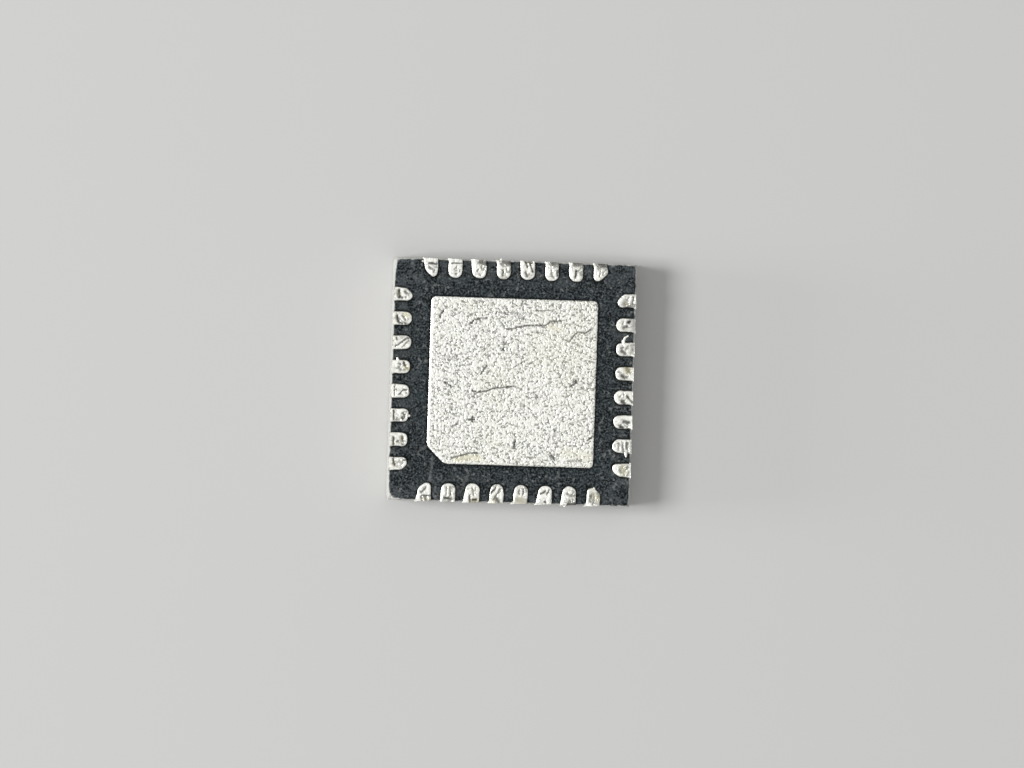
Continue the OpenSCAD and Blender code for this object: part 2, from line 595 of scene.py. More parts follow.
@dataclass(frozen=True)
class Engraver:
    """Draws strokes into a face that points up.

    Attributes:
        photo: Turns a stroke's pixels into places.
        wander_cells: Cells of noise per millimetre that make a stroke's width uneven.
        bend_cells, bend_reach: Cells of noise that bend its line, and how far they do.
        fade_cells, fade_range: Cells of noise that fade it, and its values where that ends.
        spread: Share of a stroke's width that is drawn.
        least: Share of its strength that is left where it fades most.
        narrow, widen: Least half width as a share of the width, and what the noise adds to it.
        steepness: How steep the stroke's sides are.
        ridge_place, ridge_height: Place of the ridge beside it, in half widths, and its height.
        seed: Fixes the noise.
    """

    photo: Photo
    wander_cells: float = 45.0
    bend_cells: float = 15.0
    bend_reach: float = 0.016
    fade_cells: float = 11.0
    fade_range: Span = (0.2, 0.6)
    spread: float = 1.0
    least: float = 0.7
    narrow: float = 0.4
    widen: float = 0.45
    steepness: float = 2.5
    ridge_place: float = 1.7
    ridge_height: float = 0.25
    seed: int = 71

    def draw(self, points: Array, weight: Array, strokes: tuple[Stroke, ...]) -> dict[str, Array]:
        """Sinks strokes into points.

        Args:
            points: Points in millimetres, changed in place.
            weight: Share of each point that may be marked.
            strokes: What to draw.

        Returns:
            One attribute per tone, from 0 to 1.
        """
        marks = {tone.value: np.zeros(len(points)) for tone in Tone}
        flat = points[:, :2]
        wander = lattice_noise(flat * self.wander_cells, self.seed)
        seeds = (self.seed + 1, self.seed + 2)
        bend = [lattice_noise(flat * self.bend_cells, seed) - MIDDLE for seed in seeds]
        bent = flat + self.bend_reach * np.column_stack(bend)
        fade = lattice_noise(flat * self.fade_cells, self.seed + 3)
        fade = self.least + (1 - self.least) * smooth_step(fade, *self.fade_range)
        for stroke in strokes:
            line = self.photo.to_package(stroke.path)
            gap = self.from_line(bent, line)
            half = self.spread * stroke.width * (self.narrow + self.widen * wander)
            profile = np.exp(-((gap / half) ** self.steepness)) * weight * fade
            ridge = np.exp(-(((gap - self.ridge_place * half) / half) ** 2)) * weight * fade
            points[:, 2] -= stroke.depth * (profile - self.ridge_height * ridge)
            layer = marks[stroke.tone.value]
            np.maximum(layer, stroke.strength * profile, out=layer)
        return marks

    @staticmethod
    def from_line(places: Array, line: Array) -> Array:
        """Measures how far places lie from a broken line.

        Args:
            places: Rows of two coordinates.
            line: Corners of the line, one or more.

        Returns:
            One distance per place.
        """
        best = np.linalg.norm(places - line[0], axis=1)
        for start, end in zip(line[:-1], line[1:]):
            along = end - start
            share = np.clip((places - start) @ along / (along @ along), 0.0, 1.0)
            best = np.minimum(best, np.linalg.norm(places - start - share[:, None] * along, axis=1))
        return best


class Graph:
    """Adds and links nodes in one node tree."""

    def __init__(self, tree: bpy.types.NodeTree) -> None:
        """Takes over a node tree."""
        self.tree = tree

    def add(
        self, kind: str, inputs: dict[str | int, object] | None = None, **settings: object
    ) -> bpy.types.Node:
        """Adds a node.

        Args:
            kind: Type name of the node.
            inputs: Values, or sockets to link, by the input's name or number.
            **settings: The node's own properties.

        Returns:
            The new node.
        """
        node = self.tree.nodes.new(kind)
        for name, value in settings.items():
            setattr(node, name, value)
        for key, value in (inputs or {}).items():
            if isinstance(value, Socket):
                self.tree.links.new(value, node.inputs[key])
            else:
                node.inputs[key].default_value = value
        return node

    def math(self, operation: str, first: object, second: object = 0.0) -> Socket:
        """Works out a number from one or two numbers or sockets."""
        return self.add("ShaderNodeMath", {0: first, 1: second}, operation=operation).outputs[0]

    def vector(self, operation: str, first: object, second: object) -> Socket:
        """Works out a vector from two, or for SCALE from a vector and a number."""
        key = "Scale" if operation == "SCALE" else 1
        return self.add("ShaderNodeVectorMath", {0: first, key: second}, operation=operation).outputs[0]

    def product(self, first: object, *others: object) -> Socket:
        """Multiplies numbers or sockets, from left to right."""
        return reduce(partial(self.math, "MULTIPLY"), others, first)

    def centred(self, value: object) -> Socket:
        """Moves noise so that its middle is zero."""
        return self.math("SUBTRACT", value, MIDDLE)

    def noise(self, place: object, scale: object, detail: float = 2.0, offset: object = 0.0) -> Socket:
        """Adds smooth noise.

        Args:
            place: Socket with the place.
            scale: Cells per unit.
            detail: Finer layers on top of the first.
            offset: Moves the pattern, as a seed does.

        Returns:
            Socket with a value about one half.
        """
        inputs = {"Vector": place, "W": offset, "Scale": scale, "Detail": detail}
        inputs["Roughness"] = NOISE_ROUGHNESS
        return self.add("ShaderNodeTexNoise", inputs, noise_dimensions="4D").outputs[0]

    def remap(
        self, value: object, low: float, high: float, to_low: object = 0.0, to_high: object = 1.0
    ) -> Socket:
        """Carries a number smoothly from one range to another and stops at its ends."""
        inputs = {"Value": value, 1: low, 2: high, 3: to_low, 4: to_high}
        return self.add("ShaderNodeMapRange", inputs, interpolation_type="SMOOTHSTEP").outputs[0]


class ShaderGraph(Graph):
    """Builds one node material."""

    def __init__(self, name: str) -> None:
        """Starts a material.

        Args:
            name: Name of the material.
        """
        self.made = bpy.data.materials.new(name)
        self.made.use_nodes = True
        super().__init__(self.made.node_tree)
        self.tree.nodes.clear()

    def millimetres(self) -> Socket:
        """Gives the place on the object in millimetres."""
        place = self.add("ShaderNodeTexCoord").outputs["Object"]
        return self.vector("SCALE", place, 1 / MM)

    def attribute(self, name: str) -> Socket:
        """Gives a value that the mesh holds at its points."""
        return self.add("ShaderNodeAttribute", attribute_name=name).outputs["Fac"]

    def mix(self, share: object, first: object, second: object) -> Socket:
        """Blends two colours.

        Args:
            share: Share of the second, from 0 to 1.
            first: A colour or a socket.
            second: A colour or a socket.

        Returns:
            Socket with the blend.
        """
        first = (*first, 1.0) if isinstance(first, tuple) else first
        second = (*second, 1.0) if isinstance(second, tuple) else second
        node = self.add("ShaderNodeMix", {0: share, 6: first, 7: second}, data_type="RGBA")
        return node.outputs[2]

    def blend(self, share: object, first: object, second: object) -> Socket:
        """Blends two numbers, with a share of the second from 0 to 1."""
        return self.add("ShaderNodeMix", {0: share, 2: first, 3: second}).outputs[0]

    def ramp(self, value: object, stops: list[tuple[float, Colour]]) -> Socket:
        """Turns a number into a colour.

        Args:
            value: Socket with the number.
            stops: Number and colour of each stop, lowest first.

        Returns:
            Socket with the colour.
        """
        node = self.add("ShaderNodeValToRGB", {0: value})
        elements = node.color_ramp.elements
        for index, (position, colour) in enumerate(stops):
            element = elements[index] if index < 2 else elements.new(position)
            element.position = position
            element.color = (*colour, 1.0)
        return node.outputs[0]

    def bump(self, height: object, reach: float) -> Socket:
        """Shades a surface as if it had a relief from 0 to 1, times a reach in millimetres."""
        inputs = {"Height": height, "Distance": reach * MM, "Strength": 1.0}
        return self.add("ShaderNodeBump", inputs).outputs[0]

    def finish(self, inputs: dict[str, object]) -> Material:
        """Ends the material in one surface shader.

        Args:
            inputs: The shader's values and sockets by name.

        Returns:
            The material.
        """
        surface = self.add("ShaderNodeBsdfPrincipled", inputs)
        self.add("ShaderNodeOutputMaterial", {"Surface": surface.outputs[0]})
        return self.made


@dataclass(frozen=True)
class Pattern:
    """A noise pattern that brings out a colour of a finish.

    Attributes:
        cells: Cells per millimetre.
        start, full: Noise at which it starts to show, and at which it shows most.
        share: Share of its colour there.
        detail: Finer layers of noise on top of the first.
        offset: Moves the pattern, as a seed does.
        stretch: Makes the cells closer along x, y and z.
    """

    cells: float
    start: float
    full: float
    share: float = 1.0
    detail: float = 2.0
    offset: float = 0.0
    stretch: Triple = (1.0, 1.0, 1.0)

    def noise(self, graph: ShaderGraph) -> Socket:
        """Gives the noise itself."""
        place = graph.vector("MULTIPLY", graph.millimetres(), self.stretch)
        return graph.noise(place, self.cells, self.detail, self.offset)

    def shown(self, graph: ShaderGraph) -> Socket:
        """Gives the share of the colour that it brings out."""
        return graph.remap(self.noise(graph), self.start, self.full, to_high=self.share)


@dataclass(frozen=True)
class TinPlate:
    """Matt tin over copper: speckled, scratched, stained, and bare where it was sawn.

    Attributes:
        bright, plain, shade: Colours of the grain's crests, of most of it and of its hollows.
        dirt: Colour in pits and scratches.
        stain: Yellow film left by handling.
        copper, smear: Bare sawn copper, and the same with tin drawn over it.
        fine_cells: Cells of the finest speckle per millimetre.
        grain_share: Share that the mesh's own grain has in the speckle.
        levels: Speckle that shows as shade, as plain and as bright.
        patches: Where the plating has yellowed.
        lines: The saw's lines, which hold the smear.
        roughness: Roughness in the hollows and on the crests.
        relief: Height of the shaded relief in millimetres.
    """

    bright: Colour = (0.97, 0.972, 0.915)
    plain: Colour = (0.82, 0.822, 0.76)
    shade: Colour = (0.30, 0.30, 0.28)
    dirt: Colour = (0.05, 0.047, 0.042)
    stain: Colour = (0.68, 0.635, 0.42)
    copper: Colour = (0.72, 0.43, 0.28)
    smear: Colour = (0.80, 0.72, 0.62)
    fine_cells: float = 21.0
    grain_share: float = 0.62
    levels: Triple = (0.31, 0.43, 0.55)
    patches: Pattern = Pattern(0.9, 0.42, 0.75, share=0.12, offset=3.0)
    lines: Pattern = Pattern(1.0, 0.45, 0.62, detail=3.0, stretch=(0.9, 0.9, 60.0))
    roughness: Span = (0.52, 0.34)
    relief: float = 0.0022

    def material(self) -> Material:
        """Builds the finish.

        Returns:
            The material.
        """
        graph = ShaderGraph("tin_plate")
        fine = graph.noise(graph.millimetres(), self.fine_cells, detail=3.0)
        grain = graph.product(graph.attribute("grain"), self.grain_share)
        grain = graph.math("ADD", grain, graph.product(fine, 1 - self.grain_share))
        colour = graph.ramp(grain, list(zip(self.levels, (self.shade, self.plain, self.bright))))
        colour = graph.mix(self.patches.shown(graph), colour, self.stain)
        # The shine layer holds light scratches and the pad's painted highlight along its rim
        tones = {Tone.STAIN: self.stain, Tone.BRIGHT: self.bright, Tone.DARK: self.dirt}
        for tone, over in tones.items():
            colour = graph.mix(graph.attribute(tone.value), colour, over)
        sawn = graph.mix(self.lines.shown(graph), self.copper, self.smear)
        bare = graph.attribute(Tone.BARE.value)
        inputs = {
            "Base Color": graph.mix(bare, colour, sawn),
            "Metallic": 1.0,
            "Roughness": graph.remap(fine, *NOISE_RANGE, *self.roughness),
            "Normal": graph.bump(graph.blend(bare, fine, self.lines.noise(graph)), self.relief),
        }
        return graph.finish(inputs)


@dataclass(frozen=True)
class MouldCompound:
    """Dark epoxy filled with silica: fine grained where moulded, grey and lined where sawn.

    Attributes:
        deep, worn, outer_pale: Colours of plain resin, also painted as shade round the metal, of
            handled places and of the paler outer zone.
        warm: Brown tint of the resin between the terminals.
        speck: Light grains of filler near the surface.
        sawn, cut_grain: Cut resin, and cut grains of filler.
        scuff: Colour of light scratches and dust.
        matt, smooth: Even colour of the marked face, and of the smooth mark in it.
        clouds: The handled places.
        mottle: Dark spots of bare resin.
        specks: The light grains.
        dust: Dust on the face.
        lines: The saw's lines.
        cut_cells, cut_size, cut_share: Cells of cut grains per millimetre, size of the largest in
            cells, and share of their colour.
        roughness, mark_roughness: Roughness of resin and light grains, and of the smooth mark.
        specular: Level of the shine.
        relief: Height of the shaded relief in millimetres.
    """

    deep: Colour = (0.004, 0.006, 0.007)
    worn: Colour = (0.017, 0.025, 0.028)
    outer_pale: Colour = (0.054, 0.062, 0.065)
    warm: Colour = (0.034, 0.031, 0.0285)
    speck: Colour = (0.108, 0.125, 0.131)
    sawn: Colour = (0.41, 0.41, 0.39)
    cut_grain: Colour = (0.62, 0.62, 0.59)
    scuff: Colour = (0.17, 0.175, 0.175)
    matt: Colour = (0.030, 0.033, 0.034)
    smooth: Colour = (0.085, 0.088, 0.089)
    clouds: Pattern = Pattern(1.6, 0.35, 0.65, detail=3.0)
    mottle: Pattern = Pattern(6.5, 0.42, 0.56, offset=6.0)
    specks: Pattern = Pattern(24.0, 0.42, 0.68, share=0.77, detail=3.0)
    dust: Pattern = Pattern(14.0, 0.59, 0.72, share=0.85, detail=1.0, offset=9.0)
    lines: Pattern = Pattern(1.0, 0.4, 0.65, share=0.5, detail=3.0, stretch=(0.7, 0.7, 42.0))
    cut_cells: float = 17.0
    cut_size: float = 0.34
    cut_share: float = 0.6
    roughness: Span = (0.72, 0.52)
    mark_roughness: float = 0.35
    specular: float = 0.06
    relief: float = 0.004

    def material(self) -> Material:
        """Builds the finish.

        Returns:
            The material.
        """
        graph = ShaderGraph("mould_compound")
        fine = self.specks.noise(graph)
        sawn = graph.attribute("sawn")
        mark = graph.attribute("mark")
        colour = graph.mix(sawn, self.face(graph), self.side(graph))
        rough = graph.remap(fine, *NOISE_RANGE, *self.roughness)
        relief = graph.blend(sawn, fine, self.lines.noise(graph))
        inputs = {
            "Base Color": graph.mix(graph.attribute("scuff"), colour, self.scuff),
            "Roughness": graph.blend(mark, rough, self.mark_roughness),
            "Specular IOR Level": self.specular,
            "Normal": graph.bump(graph.blend(mark, relief, MIDDLE), self.relief),
        }
        return graph.finish(inputs)

    def face(self, graph: ShaderGraph) -> Socket:
        """Colours the moulded faces, one layer over the other.

        Args:
            graph: The material's nodes.

        Returns:
            Socket with the colour.
        """
        layers = (
            (self.clouds.shown(graph), self.worn),
            (graph.attribute("pale_zone"), self.outer_pale),
            (graph.attribute("warm"), self.warm),
            (self.mottle.shown(graph), self.deep),
            (self.specks.shown(graph), self.speck),
            (self.dust.shown(graph), self.scuff),
            # Painted shade in the sunk band round the metal
            (graph.attribute("moat_and_painted_shade"), self.deep),
            (graph.attribute("calm"), self.matt),
            (graph.attribute("mark"), self.smooth),
        )
        colour = self.deep
        for share, over in layers:
            colour = graph.mix(share, colour, over)
        return colour

    def side(self, graph: ShaderGraph) -> Socket:
        """Colours the sawn sides.

        Args:
            graph: The material's nodes.

        Returns:
            Socket with the colour.
        """
        inputs = {"Vector": graph.millimetres(), "Scale": self.cut_cells}
        cells = graph.add("ShaderNodeTexVoronoi", inputs).outputs
        size = graph.product(cells["Color"], self.cut_size)
        grain = graph.math("LESS_THAN", cells["Distance"], size)
        colour = graph.mix(self.lines.shown(graph), self.sawn, self.cut_grain)
        return graph.mix(graph.product(grain, self.cut_share), colour, self.cut_grain)


@dataclass(frozen=True)
class InnerFinish:
    """Finish of a piece that the moulding hides.

    Attributes:
        name: Name of the material and of its slot.
        light, dark: Its two colours.
        cells: Cells of its pattern per millimetre.
        metallic: One for a metal, zero for any other.
        roughness: Middle roughness.
        spread: How far the roughness varies, as a share of it.
        light_range: Noise at which the lighter colour begins and is whole.
        relief: Height of the shaded relief in millimetres.
    """

    name: str
    light: Colour
    dark: Colour
    cells: float
    metallic: float
    roughness: float
    spread: float = 0.2
    light_range: Span = (0.35, 0.65)
    relief: float = 0.001

    def material(self) -> Material:
        """Builds the finish.

        Returns:
            The material.
        """
        graph = ShaderGraph(self.name)
        pattern = graph.noise(graph.millimetres(), self.cells, detail=3.0)
        share = graph.remap(pattern, *self.light_range)
        ends = (self.roughness * (1 - self.spread), self.roughness * (1 + self.spread))
        inputs = {
            "Base Color": graph.mix(share, self.dark, self.light),
            "Metallic": self.metallic,
            "Roughness": graph.remap(pattern, *NOISE_RANGE, *ends),
            "Normal": graph.bump(pattern, self.relief),
        }
        return graph.finish(inputs)


@dataclass(frozen=True)
class FloorFinish:
    """Plain pale matt floor.

    Attributes:
        pale: Its colour.
        roughness: Its roughness.
    """

    pale: Colour = (0.58, 0.58, 0.57)
    roughness: float = 0.9

    def material(self) -> Material:
        """Builds the finish."""
        inputs = {"Base Color": (*self.pale, 1.0), "Roughness": self.roughness}
        return ShaderGraph("floor").finish(inputs)


class GeometryTree(Graph):
    """Builds one Geometry Nodes tree with named inputs and turns its result into a plain mesh."""

    def __init__(self, name: str) -> None:
        """Starts a tree.

        Args:
            name: Name of the tree.
        """
        super().__init__(bpy.data.node_groups.new(name, "GeometryNodeTree"))
        self.tree.is_modifier = True
        self.sockets: dict[str, str] = {}
        self.given = self.tree.nodes.new("NodeGroupInput")
        self.declare("Geometry", "Geometry")
        self.tree.interface.new_socket("Geometry", in_out="OUTPUT", socket_type="NodeSocketGeometry")

    def declare(self, name: str, kind: str = "Float") -> Socket:
        """Adds a named input.

        Args:
            name: Name of the input.
            kind: Kind of its socket.

        Returns:
            Socket that gives the input's value inside the tree.
        """
        socket = self.tree.interface.new_socket(name, in_out="INPUT", socket_type="NodeSocket" + kind)
        self.sockets[name] = socket.identifier
        return self.given.outputs[name]

    def numbers(self, *names: str) -> list[Socket]:
        """Adds a named number for each name."""
        return [self.declare(name) for name in names]

    def named(self, name: str, kind: str = "FLOAT") -> Socket:
        """Reads an attribute of the mesh, with values of one kind."""
        return self.add("GeometryNodeInputNamedAttribute", {"Name": name}, data_type=kind).outputs[0]

    def millimetres(self) -> Socket:
        """Gives the place of each point in millimetres."""
        return self.vector("SCALE", self.add("GeometryNodeInputPosition").outputs[0], 1 / MM)

    def outward(self, rise: Socket) -> Socket:
        """Gives an offset along each point's normal, from a rise in millimetres."""
        normal = self.add("GeometryNodeInputNormal").outputs[0]
        return self.vector("SCALE", normal, self.product(rise, MM))

    def close(self, geometry: Socket) -> None:
        """Ends the tree in Realize Instances and Set Material.

        Args:
            geometry: Socket with the finished geometry.
        """
        material = self.declare("Material", "Material")
        real = self.add("GeometryNodeRealizeInstances", {0: geometry}).outputs[0]
        dressed = self.add("GeometryNodeSetMaterial", {"Geometry": real, "Material": material})
        self.add("NodeGroupOutput", {0: dressed.outputs[0]})

    def apply(self, thing: Thing, values: dict[str, object]) -> None:
        """Runs the tree on an object and keeps the result as its plain mesh.

        Args:
            thing: The object, changed in place.
            values: The tree's inputs by name.
        """
        modifier = thing.modifiers.new("tree", "NODES")
        modifier.node_group = self.tree
        for name, value in values.items():
            modifier[self.sockets[name]] = value
        graph = bpy.context.evaluated_depsgraph_get()
        shaped = thing.evaluated_get(graph)
        mesh = bpy.data.meshes.new_from_object(shaped, preserve_all_data_layers=True, depsgraph=graph)
        thing.modifiers.clear()
        old = thing.data
        thing.data = mesh
        bpy.data.meshes.remove(old)
        mesh.name = thing.name


class PlatingTree(GeometryTree):
    """Raises the grain of a plated face and drags its sawn edge into a burr."""

    # Cells of the winding pits and of the gaps in them, as shares of the grain's own
    pit_cells = 0.8
    gap_cells = 0.9

    # Distance of the noise from its middle where a pit is deepest and where it ends
    pit_range = (0.01, 0.085)

    # Noise at which a gap ends and the pit is whole
    gap_range = (0.30, 0.54)

    # Least and most of its reach that a ragged burr has
    rag_range = (0.25, 1.25)

    # Keeps the second noise apart from the first
    seed_step = 50.0

    def __init__(self) -> None:
        """Builds the tree."""
        super().__init__("plated_face")
        seed, cells, contrast, pit_depth, grain_height = self.numbers(
            "Seed", "Grain Cells", "Contrast", "Pit Depth", "Grain Height"
        )
        wave_cells, wave_height, burr_reach, burr_lift, rag_cells = self.numbers(
            "Wave Cells", "Wave Height", "Burr Reach", "Burr Lift", "Rag Cells"
        )
        place = self.millimetres()
        other = self.math("ADD", seed, self.seed_step)
        swell = self.noise(place, self.product(cells, self.pit_cells), 1.0, seed)
        trail = self.math("ABSOLUTE", self.centred(swell))
        gaps = self.noise(place, self.product(cells, self.gap_cells), 1.0, other)
        pit = self.remap(trail, *self.pit_range, 1.0, 0.0)
        pit = self.product(pit, self.remap(gaps, *self.gap_range), pit_depth)
        speckle = self.product(self.centred(self.noise(place, cells, 3.0, other)), contrast)
        grain = self.math("SUBTRACT", self.math("ADD", speckle, MIDDLE), pit)
        wave = self.noise(place, wave_cells, 1.0, seed)
        tall = self.product(self.centred(grain), grain_height)
        rolling = self.product(self.centred(wave), wave_height)
        rise = self.product(self.math("ADD", tall, rolling), self.named("skin"))
        rag = self.remap(self.noise(place, rag_cells, 2.0, seed), *NOISE_RANGE, *self.rag_range)
        pull = self.product(self.named("burr"), rag)
        drag = self.product(pull, burr_reach, MM)
        dragged = self.vector("SCALE", self.named("way", "FLOAT_VECTOR"), drag)
        lift = self.add("ShaderNodeCombineXYZ", {"Z": self.product(pull, burr_lift, MM)}).outputs[0]
        offset = self.vector("ADD", self.vector("ADD", self.outward(rise), dragged), lift)
        inputs = {"Geometry": self.given.outputs["Geometry"], "Name": "grain", "Value": grain}
        stored = self.add("GeometryNodeStoreNamedAttribute", inputs, data_type="FLOAT")
        moved = self.add("GeometryNodeSetPosition", {"Geometry": stored.outputs[0], "Offset": offset})
        self.close(moved.outputs[0])


class SpurTree(GeometryTree):
    """Draws a flattened, tapering sliver of metal along a line."""

    # Cells of its unevenness per millimetre
    wobble_cells = 20.0

    # Width of its tip, as a share of that of its root
    tip_share = 0.5

    # Corners of its cross-section
    ring_corners = 12

    def __init__(self) -> None:
        """Builds the tree."""
        super().__init__("sawn_spur")
        seed, width, height, base = self.numbers("Seed", "Width", "Height", "Base")
        steps = self.declare("Steps", "Int")
        line = self.add("GeometryNodeMeshToCurve", {"Mesh": self.given.outputs["Geometry"]})
        even = self.add("GeometryNodeResampleCurve", {"Curve": line.outputs[0], "Count": steps})
        wobble = self.noise(self.millimetres(), self.wobble_cells, 2.0, seed)
        share = self.add("GeometryNodeSplineParameter").outputs["Factor"]
        taper = self.remap(share, 0.0, 1.0, 1.0, self.tip_share)
        taper = self.product(taper, self.math("ADD", wobble, MIDDLE))
        inputs = {"Resolution": self.ring_corners, "Radius": self.product(width, MM / 2)}
        ring = self.add("GeometryNodeCurvePrimitiveCircle", inputs)
        inputs = {"Curve": even.outputs[0], "Profile Curve": ring.outputs[0], "Scale": taper}
        tube = self.add("GeometryNodeCurveToMesh", {**inputs, "Fill Caps": True})
        place = self.add("ShaderNodeSeparateXYZ", {0: self.millimetres()})
        squash = self.math("DIVIDE", height, width)
        above = self.product(self.math("SUBTRACT", place.outputs["Z"], base), squash)
        level = self.math("ADD", base, above)
        flat = {"X": place.outputs["X"], "Y": place.outputs["Y"], "Z": level}
        spot = self.vector("SCALE", self.add("ShaderNodeCombineXYZ", flat).outputs[0], MM)
        inputs = {"Geometry": tube.outputs[0], "Position": spot}
        moved = self.add("GeometryNodeSetPosition", inputs)
        inputs = {"Geometry": moved.outputs[0], "Name": "grain", "Value": wobble}
        stored = self.add("GeometryNodeStoreNamedAttribute", inputs, data_type="FLOAT")
        self.close(stored.outputs[0])


class MouldTree(GeometryTree):
    """Gives the moulded faces their fine texture and the sawn sides their saw lines."""

    # Draws the cells of noise out into lines along x and y
    stretch = (0.02, 0.02, 1.0)

    def __init__(self) -> None:
        """Builds the tree."""
        super().__init__("moulded_skin")
        seed, texture_cells, texture_height, line_cells, line_height = self.numbers(
            "Seed", "Texture Cells", "Texture Height", "Line Cells", "Line Height"
        )
        place = self.millimetres()
        texture = self.noise(place, texture_cells, 3.0, seed)
        fine = self.product(self.centred(texture), texture_height)
        lines = self.noise(self.vector("MULTIPLY", place, self.stretch), line_cells, 2.0, seed)
        cut = self.product(self.centred(lines), line_height, self.named("sawn"))
        rise = self.product(self.math("ADD", fine, cut), self.named("skin"))
        inputs = {"Geometry": self.given.outputs["Geometry"], "Offset": self.outward(rise)}
        moved = self.add("GeometryNodeSetPosition", inputs)
        self.close(moved.outputs[0])


def read_points(thing: Thing) -> Array:
    """Reads an object's points.

    Args:
        thing: The object.

    Returns:
        Rows of x, y and z in millimetres.
    """
    flat = np.empty(len(thing.data.vertices) * 3, np.float32)
    thing.data.vertices.foreach_get("co", flat)
    return flat.reshape(-1, 3).astype(float) / MM


def write_points(thing: Thing, points: Array, marks: dict[str, Array]) -> None:
    """Writes an object's points and marks, and shades its curved parts smoothly.

    Args:
        thing: The object, changed in place.
        points: Rows of x, y and z in millimetres.
        marks: Values per point to keep as attributes.
    """
    mesh = thing.data
    mesh.vertices.foreach_set("co", (points * MM).astype(np.float32).ravel())
    for name, values in marks.items():
        layer = mesh.attributes.get(name) or mesh.attributes.new(name, "FLOAT", "POINT")
        layer.data.foreach_set("value", values.astype(np.float32))
    mesh.shade_smooth()
    mesh.set_sharp_from_angle(angle=math.radians(SHARP_ANGLE))
    mesh.update()


def settle(thing: Thing, slot: str, *nodes: str) -> None:
    """Fixes a finished piece to the frame and reports it.

    Args:
        thing: The piece.
        slot: Not used.
        *nodes: The solids that it stands for.
    """
    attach(thing, BODY)
    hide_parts(*nodes)
    LOG.info("%s: %d faces", thing.name, len(thing.data.polygons))


def pixel(*corners: float) -> Path:
    """Pairs up numbers as pixels across and down."""
    return tuple(zip(corners[::2], corners[1::2]))


def mark(tone: Tone, depth: float, width: float, strength: float, *corners: float) -> Stroke:
    """A mark along a line of pixels."""
    return Stroke(pixel(*corners), width, depth, tone, strength)


# Dark scratches and light ones, which take depth, width, strength and corners
scratch = partial(mark, Tone.DARK)
scuff = partial(mark, Tone.BRIGHT)

# Nicks, wide dents, torn places (one of which, on terminal 26, is a painted shadow) and yellow films of
# one depth, which take width, strength and corners
nick = partial(scratch, 0.006)
notch = partial(scratch, 0.01)
tear_and_shadow = partial(scratch, 0.025)
film = partial(mark, Tone.STAIN, 0.0)

